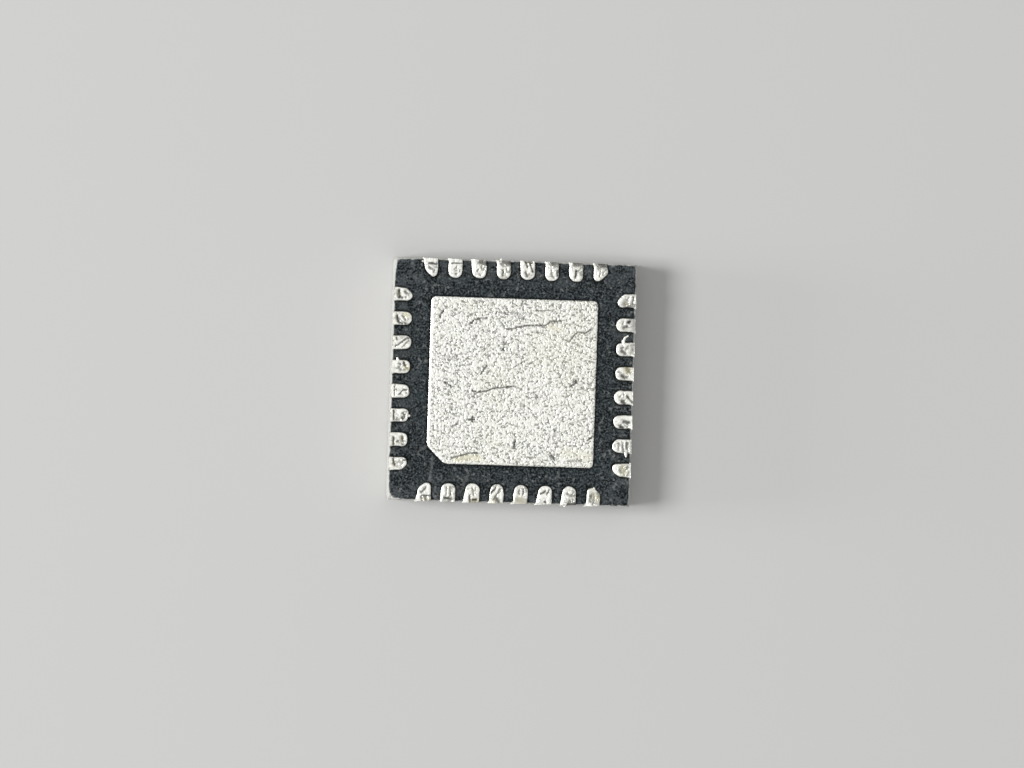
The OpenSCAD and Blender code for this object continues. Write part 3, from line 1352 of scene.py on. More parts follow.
# Marks on the pad
PAD_STROKES = (
    scratch(
        0.004, 0.036, 0.88,
        500.7, 323.2, 505.5, 328.6, 511.0, 328.4, 522.8, 325.4, 535.5, 324.8, 545.7, 324.8,
    ),
    scratch(0.004, 0.036, 0.88, 545.7, 324.8, 549.5, 321.3, 561.0, 320.0),
    scratch(0.004, 0.036, 0.88, 568.4, 341.0, 573.8, 334.6, 577.0, 331.5, 584.6, 333.4, 590.4, 328.3),
    scratch(0.004, 0.05, 1.0, 575.0, 380.0, 575.5, 382.0, 569.3, 386.3),
    scratch(0.004, 0.04, 0.88, 480.0, 373.5, 483.8, 368.4, 486.0, 365.0),
    scuff(0.002, 0.05, 0.8, 477.0, 379.0, 496.0, 354.0),
    scratch(0.004, 0.04, 0.88, 443.6, 381.2, 451.2, 386.3),
    scratch(0.004, 0.05, 0.88, 438.5, 315.5, 442.3, 311.0),
    scratch(0.004, 0.036, 0.88, 470.4, 322.5, 473.6, 319.3, 479.0, 318.0, 486.3, 317.4),
    scratch(0.003, 0.03, 0.6, 495.3, 312.3, 517.6, 311.7),
    scratch(0.003, 0.034, 0.7, 535.0, 310.5, 550.0, 309.8),
    scratch(
        0.004, 0.036, 0.88,
        471.0, 390.2, 477.4, 391.8, 485.7, 390.2, 495.3, 387.3, 502.9, 387.0, 512.5, 385.7,
    ),
    scratch(0.004, 0.036, 0.88, 451.6, 457.5, 460.8, 454.6, 468.5, 452.7, 477.4, 452.4),
    scratch(0.004, 0.045, 1.0, 514.0, 439.3, 513.4, 447.0),
    scratch(0.004, 0.042, 1.0, 471.3, 416.5, 471.4, 421.5),
    scratch(0.004, 0.036, 1.0, 468.5, 419.2, 474.0, 419.0),
    scratch(0.004, 0.034, 0.88, 451.3, 425.6, 457.0, 423.4),
    scratch(0.003, 0.05, 0.6, 554.5, 429.0, 554.5, 436.0),
    scratch(0.003, 0.055, 0.85, 527.0, 457.0, 531.0, 457.5),
    scratch(0.003, 0.065, 0.9, 551.0, 455.5, 552.8, 458.6),
    scratch(0.003, 0.04, 0.6, 502.5, 341.0, 503.5, 349.5),
    scratch(0.002, 0.045, 0.5, 568.7, 461.2, 580.6, 461.0),
    scratch(0.004, 0.034, 0.88, 586.5, 440.0, 590.4, 437.4),
    film(0.14, 0.55, 455.0, 459.5, 466.0, 457.0, 477.0, 457.5),
    film(0.22, 0.25, 565.0, 452.0, 585.0, 456.0),
    scratch(0.006, 0.03, 0.9, 512.3, 300.0, 512.2, 303.0),
    scratch(0.003, 0.06, 0.45, 510.0, 312.5, 518.5, 314.0),
    scratch(0.003, 0.08, 0.4, 518.0, 317.5, 524.0, 319.5),
    scratch(0.003, 0.03, 0.55, 479.4, 317.8, 479.2, 323.6),
    scratch(0.003, 0.03, 0.55, 471.6, 319.6, 471.2, 323.4),
    film(0.14, 0.35, 549.0, 326.5, 557.0, 329.0),
    scratch(0.004, 0.055, 0.9, 502.4, 348.6, 502.9, 349.8),
    scratch(0.003, 0.03, 0.5, 504.0, 353.2, 518.0, 352.6),
    scratch(0.003, 0.03, 0.5, 508.0, 370.4, 516.0, 364.8, 526.0, 359.0),
    scratch(0.003, 0.032, 0.55, 529.4, 362.8, 536.6, 358.6),
    scratch(0.002, 0.08, 0.4, 562.4, 366.0, 564.6, 367.4),
    scratch(0.003, 0.07, 0.5, 520.6, 403.2, 523.0, 406.0),
    scratch(0.003, 0.035, 0.65, 514.6, 411.4, 514.8, 415.0),
    scratch(0.003, 0.05, 0.6, 449.6, 406.0, 451.4, 408.0),
    scratch(0.004, 0.036, 0.8, 473.6, 391.4, 473.2, 396.4),
    scratch(0.003, 0.03, 0.65, 512.5, 385.7, 518.0, 387.2, 522.0, 388.8),
    scratch(0.002, 0.05, 0.35, 532.6, 405.4, 537.4, 396.8),
    scratch(0.004, 0.034, 0.75, 521.8, 301.0, 521.2, 305.2),
    scratch(0.003, 0.03, 0.55, 481.6, 301.5, 481.9, 304.6),
    scratch(0.004, 0.032, 0.75, 515.8, 460.6, 516.0, 465.6),
    scratch(0.004, 0.03, 0.75, 533.4, 463.0, 533.8, 466.8),
)


# Marks on each terminal
TERMINAL_STROKES = {
    1: (
        nick(0.06, 1.0, 392.5, 458.4, 393.2, 463.6),
        film(0.05, 0.7, 392.9, 461.0, 393.9, 464.0),
        nick(0.07, 0.6, 399.6, 460.8, 401.2, 462.6),
        nick(0.036, 0.9, 402.2, 460.2, 404.4, 459.4),
        notch(0.075, 0.3, 396.0, 464.6, 400.0, 466.0),
    ),
    2: (
        nick(0.06, 1.0, 392.4, 436.9, 392.5, 443.6),
        nick(0.045, 0.9, 396.0, 441.4, 397.2, 440.6),
        nick(0.07, 0.85, 401.6, 436.4, 401.7, 440.4),
        film(0.06, 0.7, 401.4, 437.4, 402.4, 439.4),
        nick(0.045, 0.9, 401.4, 443.4, 402.0, 443.8),
    ),
    3: (
        nick(0.04, 1.0, 392.8, 410.1, 392.8, 418.8),
        nick(0.05, 0.9, 401.8, 412.4, 403.0, 413.8),
        nick(0.06, 0.9, 401.2, 416.6, 401.8, 418.2),
        nick(0.036, 0.9, 404.4, 414.0, 403.5, 417.0),
        notch(0.06, 0.45, 396.6, 418.6, 398.2, 419.2),
    ),
    4: (
        nick(0.03, 0.9, 393.6, 386.0, 393.6, 394.2),
        nick(0.036, 0.9, 395.3, 388.6, 395.4, 389.6),
        nick(0.036, 0.9, 397.9, 393.8, 400.1, 392.1, 402.7, 389.0, 405.7, 389.5),
        nick(0.036, 0.5, 405.2, 391.6, 405.4, 392.6),
    ),
    5: (
        nick(0.07, 1.0, 403.0, 362.4, 403.9, 364.4),
        nick(0.055, 0.75, 398.2, 362.8, 399.2, 363.6),
        nick(0.06, 0.75, 397.9, 367.2, 399.6, 368.8),
        film(0.09, 0.9, 405.2, 366.4, 406.8, 368.4),
        nick(0.06, 0.6, 405.4, 366.8, 406.6, 368.0),
        nick(0.05, 0.6, 402.4, 369.2, 404.2, 369.6),
    ),
    6: (
        nick(0.036, 0.9, 394.9, 345.6, 404.8, 338.7),
        nick(0.03, 0.7, 401.4, 346.5, 407.8, 340.4),
        nick(0.05, 0.9, 395.6, 337.4, 396.0, 338.6),
        nick(0.04, 0.9, 406.1, 337.9, 407.0, 338.2),
        scuff(0.0, 0.035, 0.8, 394.4, 347.6, 406.0, 339.8),
    ),
    7: (
        nick(0.06, 1.0, 396.5, 315.4, 397.2, 319.4, 398.9, 322.3),
        nick(0.036, 0.7, 401.4, 315.6, 405.3, 319.5),
        nick(0.03, 0.5, 400.0, 319.0, 404.0, 322.6),
        film(0.1, 0.7, 405.2, 312.8, 405.6, 315.4),
        nick(0.05, 0.9, 400.8, 322.8, 401.2, 323.4),
        nick(0.04, 0.9, 404.3, 322.8, 404.7, 323.4),
    ),
    8: (
        nick(0.065, 1.0, 398.2, 290.0, 398.9, 296.6),
        film(0.05, 0.7, 398.2, 291.0, 398.9, 295.0),
        nick(0.055, 0.8, 404.6, 291.2, 405.8, 292.6),
        nick(0.045, 0.9, 400.6, 296.8, 401.4, 297.4),
        nick(0.045, 0.7, 404.4, 296.8, 405.4, 297.2),
        nick(0.036, 0.6, 408.2, 293.5, 407.6, 294.6),
    ),
    9: (
        nick(0.045, 0.95, 425.9, 262.6, 435.9, 263.4),
        nick(0.05, 0.75, 428.2, 266.0, 429.4, 267.6),
        nick(0.045, 0.75, 433.4, 269.4, 432.6, 271.4),
        nick(0.036, 0.6, 431.2, 268.2, 431.6, 268.8),
    ),
    10: (
        nick(0.028, 0.9, 451.3, 262.9, 460.8, 262.9),
        nick(0.036, 0.65, 453.9, 268.9, 456.5, 265.9),
        nick(0.036, 0.6, 459.1, 269.8, 459.0, 270.8),
        nick(0.036, 0.6, 454.3, 273.3, 455.3, 273.0),
    ),
    11: (
        tear_and_shadow(0.1, 0.85, 479.4, 261.4, 485.2, 262.0),
        nick(0.045, 0.75, 476.6, 270.9, 477.6, 268.9),
        nick(0.045, 0.65, 480.6, 266.4, 481.6, 269.4),
        nick(0.036, 0.6, 483.4, 268.4, 483.8, 266.6),
        nick(0.036, 0.6, 478.6, 274.4, 480.4, 274.8),
    ),
    12: (
        tear_and_shadow(0.12, 0.85, 502.6, 261.8, 509.6, 262.8),
        nick(0.05, 0.9, 501.9, 270.2, 502.0, 275.0),
        nick(0.036, 0.6, 505.9, 268.6, 506.4, 271.4),
        nick(0.04, 0.7, 508.2, 271.4, 509.9, 267.0),
    ),
    13: (
        nick(0.045, 0.95, 524.8, 262.4, 526.4, 266.8),
        nick(0.045, 0.95, 529.4, 263.0, 531.6, 271.4),
        nick(0.05, 0.85, 525.2, 272.0, 526.2, 276.0),
        nick(0.036, 0.6, 527.6, 275.4, 528.4, 274.2),
        tear_and_shadow(0.06, 0.7, 525.4, 261.0, 530.8, 261.4),
    ),
    14: (
        tear_and_shadow(0.13, 0.85, 552.4, 262.6, 558.4, 263.6),
        nick(0.045, 0.7, 550.6, 269.6, 550.8, 274.6, 553.2, 277.2),
        nick(0.05, 0.85, 556.4, 270.8, 556.8, 275.0),
    ),
    15: (
        tear_and_shadow(0.11, 0.85, 574.6, 262.8, 581.0, 263.8),
        nick(0.055, 1.0, 575.4, 270.6, 574.8, 276.6),
        nick(0.036, 0.6, 581.7, 266.6, 577.7, 270.5),
        nick(0.07, 0.55, 580.6, 271.6, 581.4, 274.8),
    ),
    16: (
        tear_and_shadow(0.13, 0.85, 599.4, 264.0, 606.8, 265.2),
        nick(0.034, 0.7, 600.0, 269.4, 599.4, 276.0),
        nick(0.05, 0.6, 603.4, 271.0, 602.4, 274.4),
        nick(0.036, 0.6, 605.4, 268.4, 604.4, 270.6),
    ),
    17: (
        nick(0.036, 0.6, 628.8, 296.8, 627.2, 299.6),
        notch(0.11, 0.62, 623.6, 303.8, 626.4, 300.4),
        film(0.06, 0.9, 624.8, 302.2, 626.4, 303.8),
        tear_and_shadow(0.1, 0.62, 628.4, 306.8, 634.6, 306.2),
        nick(0.05, 0.75, 632.9, 297.4, 631.7, 303.6),
    ),
    18: (
        nick(0.075, 1.0, 628.8, 320.8, 627.6, 322.4),
        nick(0.08, 0.95, 626.4, 326.0, 623.4, 327.0),
        nick(0.055, 0.6, 622.9, 321.0, 622.8, 323.8),
        notch(0.13, 0.55, 634.0, 319.6, 634.0, 329.5),
    ),
    19: (
        nick(0.06, 0.8, 621.0, 347.6, 622.6, 346.8),
        nick(0.085, 0.9, 621.4, 350.6, 624.4, 352.6),
        nick(0.05, 0.6, 625.4, 349.0, 627.7, 346.0),
        notch(0.1, 0.5, 633.2, 345.0, 632.4, 352.0),
    ),
    20: (
        film(0.12, 0.9, 625.8, 367.4, 627.6, 371.0),
        nick(0.1, 0.6, 626.2, 367.8, 628.2, 370.8),
        nick(0.06, 0.7, 629.0, 371.4, 630.0, 372.4),
        nick(0.085, 1.0, 621.3, 375.4, 622.4, 376.4),
        nick(0.065, 0.9, 625.2, 376.2, 626.4, 376.8),
        nick(0.045, 0.5, 618.6, 371.0, 620.4, 372.6),
    ),
    21: (
        nick(0.05, 0.95, 626.4, 395.6, 628.8, 398.3, 631.8, 402.4),
        nick(0.1, 0.9, 622.2, 401.4, 623.4, 402.8),
        nick(0.036, 0.6, 622.9, 392.4, 623.4, 394.2),
        nick(0.045, 0.5, 618.6, 397.0, 620.4, 395.5),
    ),
    22: (
        nick(0.08, 0.95, 623.6, 421.2, 627.8, 422.4),
        nick(0.08, 0.95, 619.8, 425.8, 621.9, 427.2),
        nick(0.036, 0.5, 624.2, 425.0, 626.8, 426.6),
        notch(0.06, 0.8, 627.4, 428.2, 629.2, 430.6),
    ),
    23: (
        nick(0.045, 0.65, 618.8, 443.6, 618.4, 449.4),
        nick(0.05, 0.85, 622.2, 442.5, 622.9, 451.4),
        nick(0.065, 0.95, 626.8, 442.5, 626.2, 448.2),
        nick(0.036, 0.7, 627.4, 448.4, 627.2, 453.2),
        notch(0.06, 0.6, 631.6, 442.0, 631.2, 452.0),
    ),
    24: (
        film(0.12, 0.6, 622.4, 466.8, 623.2, 471.6),
        notch(0.1, 0.4, 622.4, 467.4, 623.0, 470.6),
        nick(0.06, 0.75, 627.6, 466.4, 626.2, 469.2),
        nick(0.055, 0.55, 619.2, 469.4, 620.4, 471.4),
        nick(0.06, 0.55, 628.8, 472.4, 627.4, 475.4),
        nick(0.036, 0.6, 623.4, 473.6, 624.4, 475.4),
    ),
    25: (
        notch(0.11, 0.45, 592.6, 494.6, 594.4, 499.6),
        film(0.12, 0.5, 592.0, 494.0, 598.0, 499.0),
        nick(0.07, 0.6, 597.2, 492.6, 598.6, 496.6),
        nick(0.055, 0.7, 590.4, 495.6, 589.3, 501.0),
        notch(0.12, 0.4, 594.6, 502.0, 599.4, 503.4),
        nick(0.036, 0.6, 592.0, 503.6, 593.2, 501.8),
    ),
    26: (
        nick(0.055, 0.65, 567.0, 493.0, 569.6, 495.6, 573.8, 495.0),
        nick(0.045, 0.6, 573.2, 491.4, 571.0, 494.8),
        nick(0.05, 0.7, 568.8, 499.6, 569.4, 501.4),
        nick(0.036, 0.6, 572.0, 498.8, 572.8, 499.8),
        # Painted shadow along the bottom edge, sunk as a shallow dent
        tear_and_shadow(0.11, 0.9, 567.0, 504.6, 575.6, 504.4),
    ),
    27: (
        nick(0.042, 0.9, 539.7, 493.4, 544.6, 490.7),
        nick(0.036, 0.9, 546.4, 494.3, 548.7, 489.4),
        nick(0.04, 0.9, 544.2, 501.4, 545.0, 502.4),
    ),
    28: (
        nick(0.045, 0.85, 518.6, 489.8, 518.6, 493.6),
        nick(0.045, 0.85, 522.3, 489.0, 522.4, 493.4),
        notch(0.08, 0.45, 525.6, 486.8, 526.2, 490.2),
        notch(0.13, 0.42, 517.4, 499.8, 525.0, 501.4),
        film(0.14, 0.6, 516.8, 499.5, 524.0, 501.9),
    ),
    29: (
        nick(0.042, 0.95, 490.1, 492.8, 495.2, 487.2),
        nick(0.042, 0.8, 492.7, 498.9, 499.1, 489.4),
        nick(0.1, 0.95, 495.6, 498.2, 498.0, 501.2),
        film(0.09, 0.6, 492.6, 499.6, 494.6, 502.0),
        nick(0.05, 0.6, 498.4, 490.6, 500.0, 488.6),
    ),
    30: (
        nick(0.06, 1.0, 471.6, 499.2, 475.0, 499.4),
        nick(0.045, 0.85, 469.0, 494.6, 469.2, 502.0),
        nick(0.045, 0.65, 471.6, 487.7, 472.9, 494.6),
        nick(0.036, 0.5, 475.2, 487.2, 474.6, 489.4),
        film(0.1, 0.7, 470.6, 500.6, 477.0, 501.4),
        notch(0.06, 0.4, 470.4, 501.4, 476.4, 501.8),
    ),
    31: (
        nick(0.075, 0.95, 443.6, 497.2, 449.8, 498.2),
        nick(0.036, 0.65, 445.7, 486.4, 445.3, 494.6),
        nick(0.045, 0.8, 449.2, 486.4, 449.6, 496.0),
        nick(0.036, 0.6, 451.6, 486.6, 453.4, 486.9),
        notch(0.05, 0.4, 443.0, 500.4, 450.0, 500.8),
    ),
    32: (
        nick(0.045, 0.85, 420.7, 491.1, 425.5, 486.4),
        nick(0.045, 0.8, 421.2, 494.6, 429.2, 495.4),
        nick(0.05, 0.75, 420.2, 495.6, 421.4, 501.4),
        nick(0.055, 0.7, 424.8, 496.4, 425.2, 499.0),
        notch(0.1, 0.5, 426.0, 497.6, 429.2, 500.4),
        film(0.12, 0.4, 423.6, 498.4, 429.4, 500.4),
    ),
}

# How far the saw dragged the edge of the terminals, by the side that they end at
DRAG = {Facing.LEFT: 0.022, Facing.BACK: 0.04, Facing.RIGHT: 0.035, Facing.FRONT: 0.085}

# How far the trimmed corner of these terminals stands out, less than on the others
STRAIGHT_TRIMS = {9: 0.008, 16: 0.012}

# Slivers that the saw pulled out of single terminals, root first
SPURS = {
    3: pixel(407.2, 415.0, 409.2, 415.4),
    5: pixel(397.4, 361.4, 396.8, 359.0, 396.2, 356.8),
    9: pixel(427.0, 263.0, 423.5, 261.2, 420.8, 260.4),
    12: pixel(498.8, 262.6, 499.6, 260.4, 500.6, 258.4),
    19: pixel(623.4, 344.0, 622.8, 340.6, 624.6, 337.0, 627.8, 335.2),
    23: pixel(625.0, 452.0, 625.6, 456.8),
    24: pixel(628.4, 466.2, 630.0, 462.8),
    25: pixel(592.8, 491.2, 593.8, 487.4),
    26: pixel(564.6, 502.6, 563.6, 506.6),
}

# Broken corners and edges of the moulding, each with the radius that is lost
CHIPS = (
    (pixel(396.0, 260.0), 0.07),
    (pixel(402.0, 259.5, 410.0, 260.0), 0.03),
    (pixel(389.5, 498.0), 0.08),
    (pixel(393.0, 500.5, 402.0, 501.0), 0.03),
    (pixel(630.0, 505.0), 0.04),
    (pixel(637.0, 266.0), 0.035),
)

# Marks on the moulding
MOULD_SCUFFS = (
    scuff(0.002, 0.045, 0.55, 431.5, 457.0, 428.5, 480.0),
    scuff(0.002, 0.03, 0.5, 433.0, 489.0, 440.0, 497.0),
    scuff(0.002, 0.03, 0.5, 432.0, 493.0, 437.0, 500.0),
    scuff(0.0, 0.06, 0.45, 420.0, 449.0, 425.0, 446.0),
    scuff(0.0, 0.04, 0.7, 424.5, 360.2, 426.5, 360.4),
    scuff(0.0, 0.03, 0.7, 487.0, 295.4, 491.5, 295.6),
    scuff(0.0, 0.03, 0.4, 604.0, 329.5, 614.0, 329.0),
    scuff(0.0, 0.035, 0.55, 554.5, 479.0, 558.0, 475.0),
    scuff(0.0, 0.045, 0.6, 414.6, 276.4, 415.0, 277.8),
    scuff(0.0, 0.03, 0.7, 417.6, 357.8, 418.0, 358.6),
    scuff(0.0, 0.035, 0.55, 566.0, 280.2, 566.2, 281.8),
    scuff(0.0, 0.03, 0.6, 571.4, 285.2, 572.4, 285.4),
    scuff(0.0, 0.035, 0.55, 590.1, 298.6, 590.3, 300.4),
    scuff(0.0, 0.03, 0.45, 600.6, 305.0, 601.4, 309.8),
    scuff(0.0, 0.05, 0.4, 464.5, 480.0, 467.0, 475.0),
    scuff(0.0, 0.045, 0.45, 461.0, 484.4, 463.0, 483.4),
    scuff(0.0, 0.05, 0.6, 400.6, 499.0, 401.4, 499.4),
)


def terminal_name(number: int) -> str:
    """Name of a terminal's solid."""
    return f"terminal_{number:02d}"


# Grain of the pad's plating and of the terminals', by the tree's inputs
PAD_GRAIN = {
    "Grain Cells": 21.5,
    "Contrast": 1.1,
    "Pit Depth": 0.34,
    "Grain Height": 0.02,
    "Wave Cells": 1.3,
    "Wave Height": 0.006,
    "Burr Reach": 0.0,
    "Burr Lift": 0.0,
    "Rag Cells": 1.0,
}
TERMINAL_GRAIN = {
    "Grain Cells": 10.0,
    "Contrast": 0.55,
    "Pit Depth": 0.16,
    "Grain Height": 0.02,
    "Wave Cells": 5.0,
    "Wave Height": 0.022,
    "Burr Lift": 0.006,
    "Rag Cells": 26.0,
}


@dataclass
class DiePaddle:
    """The large exposed pad with its lip and tie bars, in millimetres.

    Attributes:
        solid: Its solid in the frame.
        photo: Places its marks.
        seed: Fixes the grain.
        spacing: Spacing of the net on the pad.
        edge_width, edge_drop: Width of the pad's rolled edge, and how far it sinks.
        rim_skin, rim_width: Share of the grain's height at the edge, and where it has all of it.
        headroom: How far the grain may stand above the solid.
        highlight_range: Distances from the edge where the painted highlight on the rolled rim begins to
            fade and ends.
            highlight_middle, highlight_slope: Strength of that painted highlight, and its change per
                millimetre to the right, which leaves it strongest on the left.
        bare_range: Distances from the tie bars' ends where bare copper begins and is whole.
    """

    solid: Thing
    photo: Photo
    seed: float = 4.0
    spacing: float = 0.0125
    edge_width: float = 0.06
    edge_drop: float = 0.019
    rim_skin: float = 0.7
    rim_width: float = 0.04
    headroom: float = 0.01
    highlight_range: Span = (0.03, 0.075)
    highlight_middle: float = 0.32
    highlight_slope: float = -0.34
    bare_range: Span = (0.01, 0.005)

    def build(self, tree: PlatingTree, finish: Material) -> None:
        """Builds and dresses the paddle.

        Args:
            tree: Raises the grain.
            finish: The plating.
        """
        net = FineSkin(self.solid, {Facing.TOP: self.spacing}).net()
        top = net.on[Facing.TOP]
        rim = np.where(top, net.rim, 0.0)
        ease_edge(net.points, top, rim, self.edge_width, self.edge_drop)
        grown = smooth_step(rim, 0.0, self.rim_width)
        skin = np.where(top, self.rim_skin + (1 - self.rim_skin) * grown, 0.0)
        still = np.zeros_like(net.points)
        thing = net.piece("die_paddle_plated", {"skin": skin, "burr": still[:, 0], "way": still})
        tree.apply(thing, PAD_GRAIN | {"Seed": self.seed, "Material": finish})
        points = read_points(thing)
        pen = Engraver(self.photo, spread=0.85, least=0.8)
        marks = pen.draw(points, top.astype(float), PAD_STROKES)
        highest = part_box("die_paddle")[1].z / MM
        points[:, 2] = np.minimum(points[:, 2], highest + self.headroom)
        # Painted highlight along the rolled rim, strongest on the left and gone on the right; it goes
        # into the shine layer
        painted_highlight = np.clip(self.highlight_middle + self.highlight_slope * points[:, 0], 0.0, 1.0)
        painted_highlight *= top * (1.0 - smooth_step(rim, *self.highlight_range))
        marks[Tone.BRIGHT.value] = np.maximum(marks[Tone.BRIGHT.value], painted_highlight)
        outer = np.abs(points[:, :2]).max(axis=1)
        start, full = self.bare_range
        marks[Tone.BARE.value] = smooth_step(outer, outer.max() - start, outer.max() - full)
        write_points(thing, points, marks)
        settle(thing, "tin_plate", "die_paddle")


@dataclass
class Terminal:
    """One plated terminal, sawn at its outer end, in millimetres.

    Attributes:
        number: Its number, counted round the package.
        solid: Its solid in the frame.
        photo: Places its marks.
        seed, seed_step: Fix the grain, and set each terminal's apart.
        spacing, end_spacing: Spacing of the net on the exposed face and on the sawn end.
        edge_width, edge_drop: Width of the exposed face's rolled edge, and how far it sinks.
        rim_skin, rim_width: Share of the grain's height at that edge, and where it has all of it.
        end_skin, end_width: Share of the grain's height on the sawn end, and where it has that.
        burr_depth, burr_power: How far in from the cut the burr begins, and how sharply it grows.
        lean_power: How sharply it grows in the saw's direction.
        burr_range: Depths under the face where it begins and is whole.
        burr_out: How far it leans out of the cut, as a share of its reach.
        bare_range: Depths under the face where bare copper begins and is whole.
        rag, rag_depth: How far the exposed face's outline strays, and how far in that reaches.
        rag_cells, rag_seed: Cells per millimetre of that straying, and what fixes it.
        free_depth: Distance from the cut where the outline may stray in full.
        trim_limit: Distance from the diagonal within which a corner is a trimmed one.
        bulge: How far the trimmed corner beside a tie bar stands out.
        bulge_reach, bulge_depth: How far it does so along its own length, as a share, and inward.
        blunt, blunt_reach: How far the tip's other corner is worn back, and how far that reaches.
    """

    number: int
    solid: Thing
    photo: Photo
    seed: float = 10.0
    seed_step: float = 3.7
    spacing: float = 0.0062
    end_spacing: float = 0.009
    edge_width: float = 0.04
    edge_drop: float = 0.018
    rim_skin: float = 0.3
    rim_width: float = 0.03
    end_skin: float = 0.35
    end_width: float = 0.02
    burr_depth: float = 0.07
    burr_power: float = 1.5
    lean_power: float = 1.6
    burr_range: Span = (0.05, 0.01)
    burr_out: float = 0.25
    bare_range: Span = (0.008, 0.03)
    rag: float = 0.014
    rag_depth: float = 0.04
    rag_cells: float = 9.0
    rag_seed: int = 60
    free_depth: float = 0.08
    trim_limit: float = 0.35
    bulge: float = 0.036
    bulge_reach: float = 0.8
    bulge_depth: float = 0.08
    blunt: float = 0.022
    blunt_reach: float = 0.075

    def side(self) -> Facing:
        """Tells which side of the package it ends at.

        Returns:
            The facing of its sawn end.
        """
        low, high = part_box(terminal_name(self.number))
        middle = (low + high) / 2
        if abs(middle.x) > abs(middle.y):
            return Facing.RIGHT if middle.x > 0 else Facing.LEFT
        return Facing.BACK if middle.y > 0 else Facing.FRONT

    def build(self, tree: PlatingTree, finish: Material) -> None:
        """Builds and dresses the terminal.

        Args:
            tree: Raises the grain and drags the burr.
            finish: The plating.
        """
        name = terminal_name(self.number)
        side = self.side()
        spacings = {Facing.TOP: self.spacing, side: self.end_spacing}
        net = FineSkin(self.solid, spacings, self.number).net()
        top = net.on[Facing.TOP]
        end = net.on[side]
        height = net.points[:, 2].max()
        rim = np.where(top, net.rim, 0.0)
        ease_edge(net.points, top, rim, self.edge_width, self.edge_drop)
        outer = np.abs(net.points[:, side.axis]).max()
        depth = outer - np.abs(net.points[:, side.axis])
        rough = net.points[top]
        self.roughen(rough, np.minimum(rim[top], net.corner[top]), depth[top])
        net.points[top] = rough
        way = np.array([0.0, -1.0, 0.0]) if side.axis == 0 else np.array([-1.0, 0.0, 0.0])
        burr = self.burr(net.points, net.points @ way, top, depth, height)
        burr[~(top | end)] = 0.0
        grown = smooth_step(rim, 0.0, self.rim_width)
        skin = np.where(top, self.rim_skin + (1 - self.rim_skin) * grown, 0.0)
        end_skin = self.end_skin * smooth_step(net.rim, 0.0, self.end_width)
        skin = np.where(end & ~top, end_skin, skin)
        ways = np.tile(way + self.burr_out * side.normal, (len(net.points), 1))
        thing = net.piece(name + "_plated", {"skin": skin, "burr": burr, "way": ways})
        seed = self.seed + self.number * self.seed_step
        tree.apply(thing, TERMINAL_GRAIN | {"Seed": seed, "Burr Reach": DRAG[side], "Material": finish})
        points = read_points(thing)
        pen = Engraver(self.photo, spread=0.92, least=0.88)
        marks = pen.draw(points, top.astype(float), TERMINAL_STROKES[self.number])
        below = smooth_step(height - points[:, 2], *self.bare_range)
        marks[Tone.BARE.value] = np.maximum(marks[Tone.BARE.value], np.where(end, below, 0.0))
        write_points(thing, points, marks)
        settle(thing, "tin_plate", name)

    def burr(self, points: Array, across: Array, top: Array, depth: Array, height: float) -> Array:
        """Finds how far the saw drags each point.

        Args:
            points: Points in millimetres.
            across: Place of each along the saw's direction.
            top: Which of them lie on the exposed face.
            depth: Distance of each from the sawn end.
            height: Height of the exposed face.

        Returns:
            Share of the reach of the burr.
        """
        low = across[top].min()
        high = across[top].max()
        lean = (across - (high + low) / 2) / ((high - low) / 2) * MIDDLE + MIDDLE
        lean = np.clip(lean, 0.0, 1.0) ** self.lean_power
        near = np.clip(1 - depth / self.burr_depth, 0.0, 1.0) ** self.burr_power
        start, full = self.burr_range
        return lean * near * smooth_step(points[:, 2], height - start, height - full)

    def roughen(self, points: Array, rim: Array, depth: Array) -> None:
        """Makes the exposed face's outline uneven and its trimmed corner rounder.

        Args:
            points: The face's points in millimetres, changed in place.
            rim: Distance of each from the face's edge.
            depth: Distance of each from the sawn end.
        """
        across = np.abs(points[:, :2])
        off = np.abs(across[:, 0] - across[:, 1]) / math.sqrt(2)
        along = across.sum(axis=1) / math.sqrt(2)
        free = smooth_step(depth, 0.0, self.free_depth)
        near = np.exp(-rim / self.rag_depth) * free
        seed = self.rag_seed + 2 * self.number
        strays = [Field(self.rag_cells, seed + axis).at(points) - MIDDLE for axis in range(2)]
        shift = np.column_stack(strays) * (2 * self.rag * near)[:, None]
        cut = off < off.min() + TOUCH
        if off.min() < self.trim_limit:
            reach = self.bulge_reach * np.ptp(along[cut])
            hump = np.clip(1 - ((along - along[cut].mean()) / reach) ** 2, 0.0, None)
            bulge = STRAIGHT_TRIMS.get(self.number, self.bulge)
            hump *= np.exp(-(off - off.min()) / self.bulge_depth) * free * bulge / math.sqrt(2)
            inward = np.where(across[:, :1] > across[:, 1:], (-1.0, 1.0), (1.0, -1.0))
            shift += inward * np.sign(points[:, :2]) * hump[:, None]
            worn = np.clip(1 - (along - along.min()) / self.blunt_reach, 0.0, None) ** 2
            shift += np.sign(points[:, :2]) * (worn * self.blunt / math.sqrt(2))[:, None]
        points[:, :2] += shift


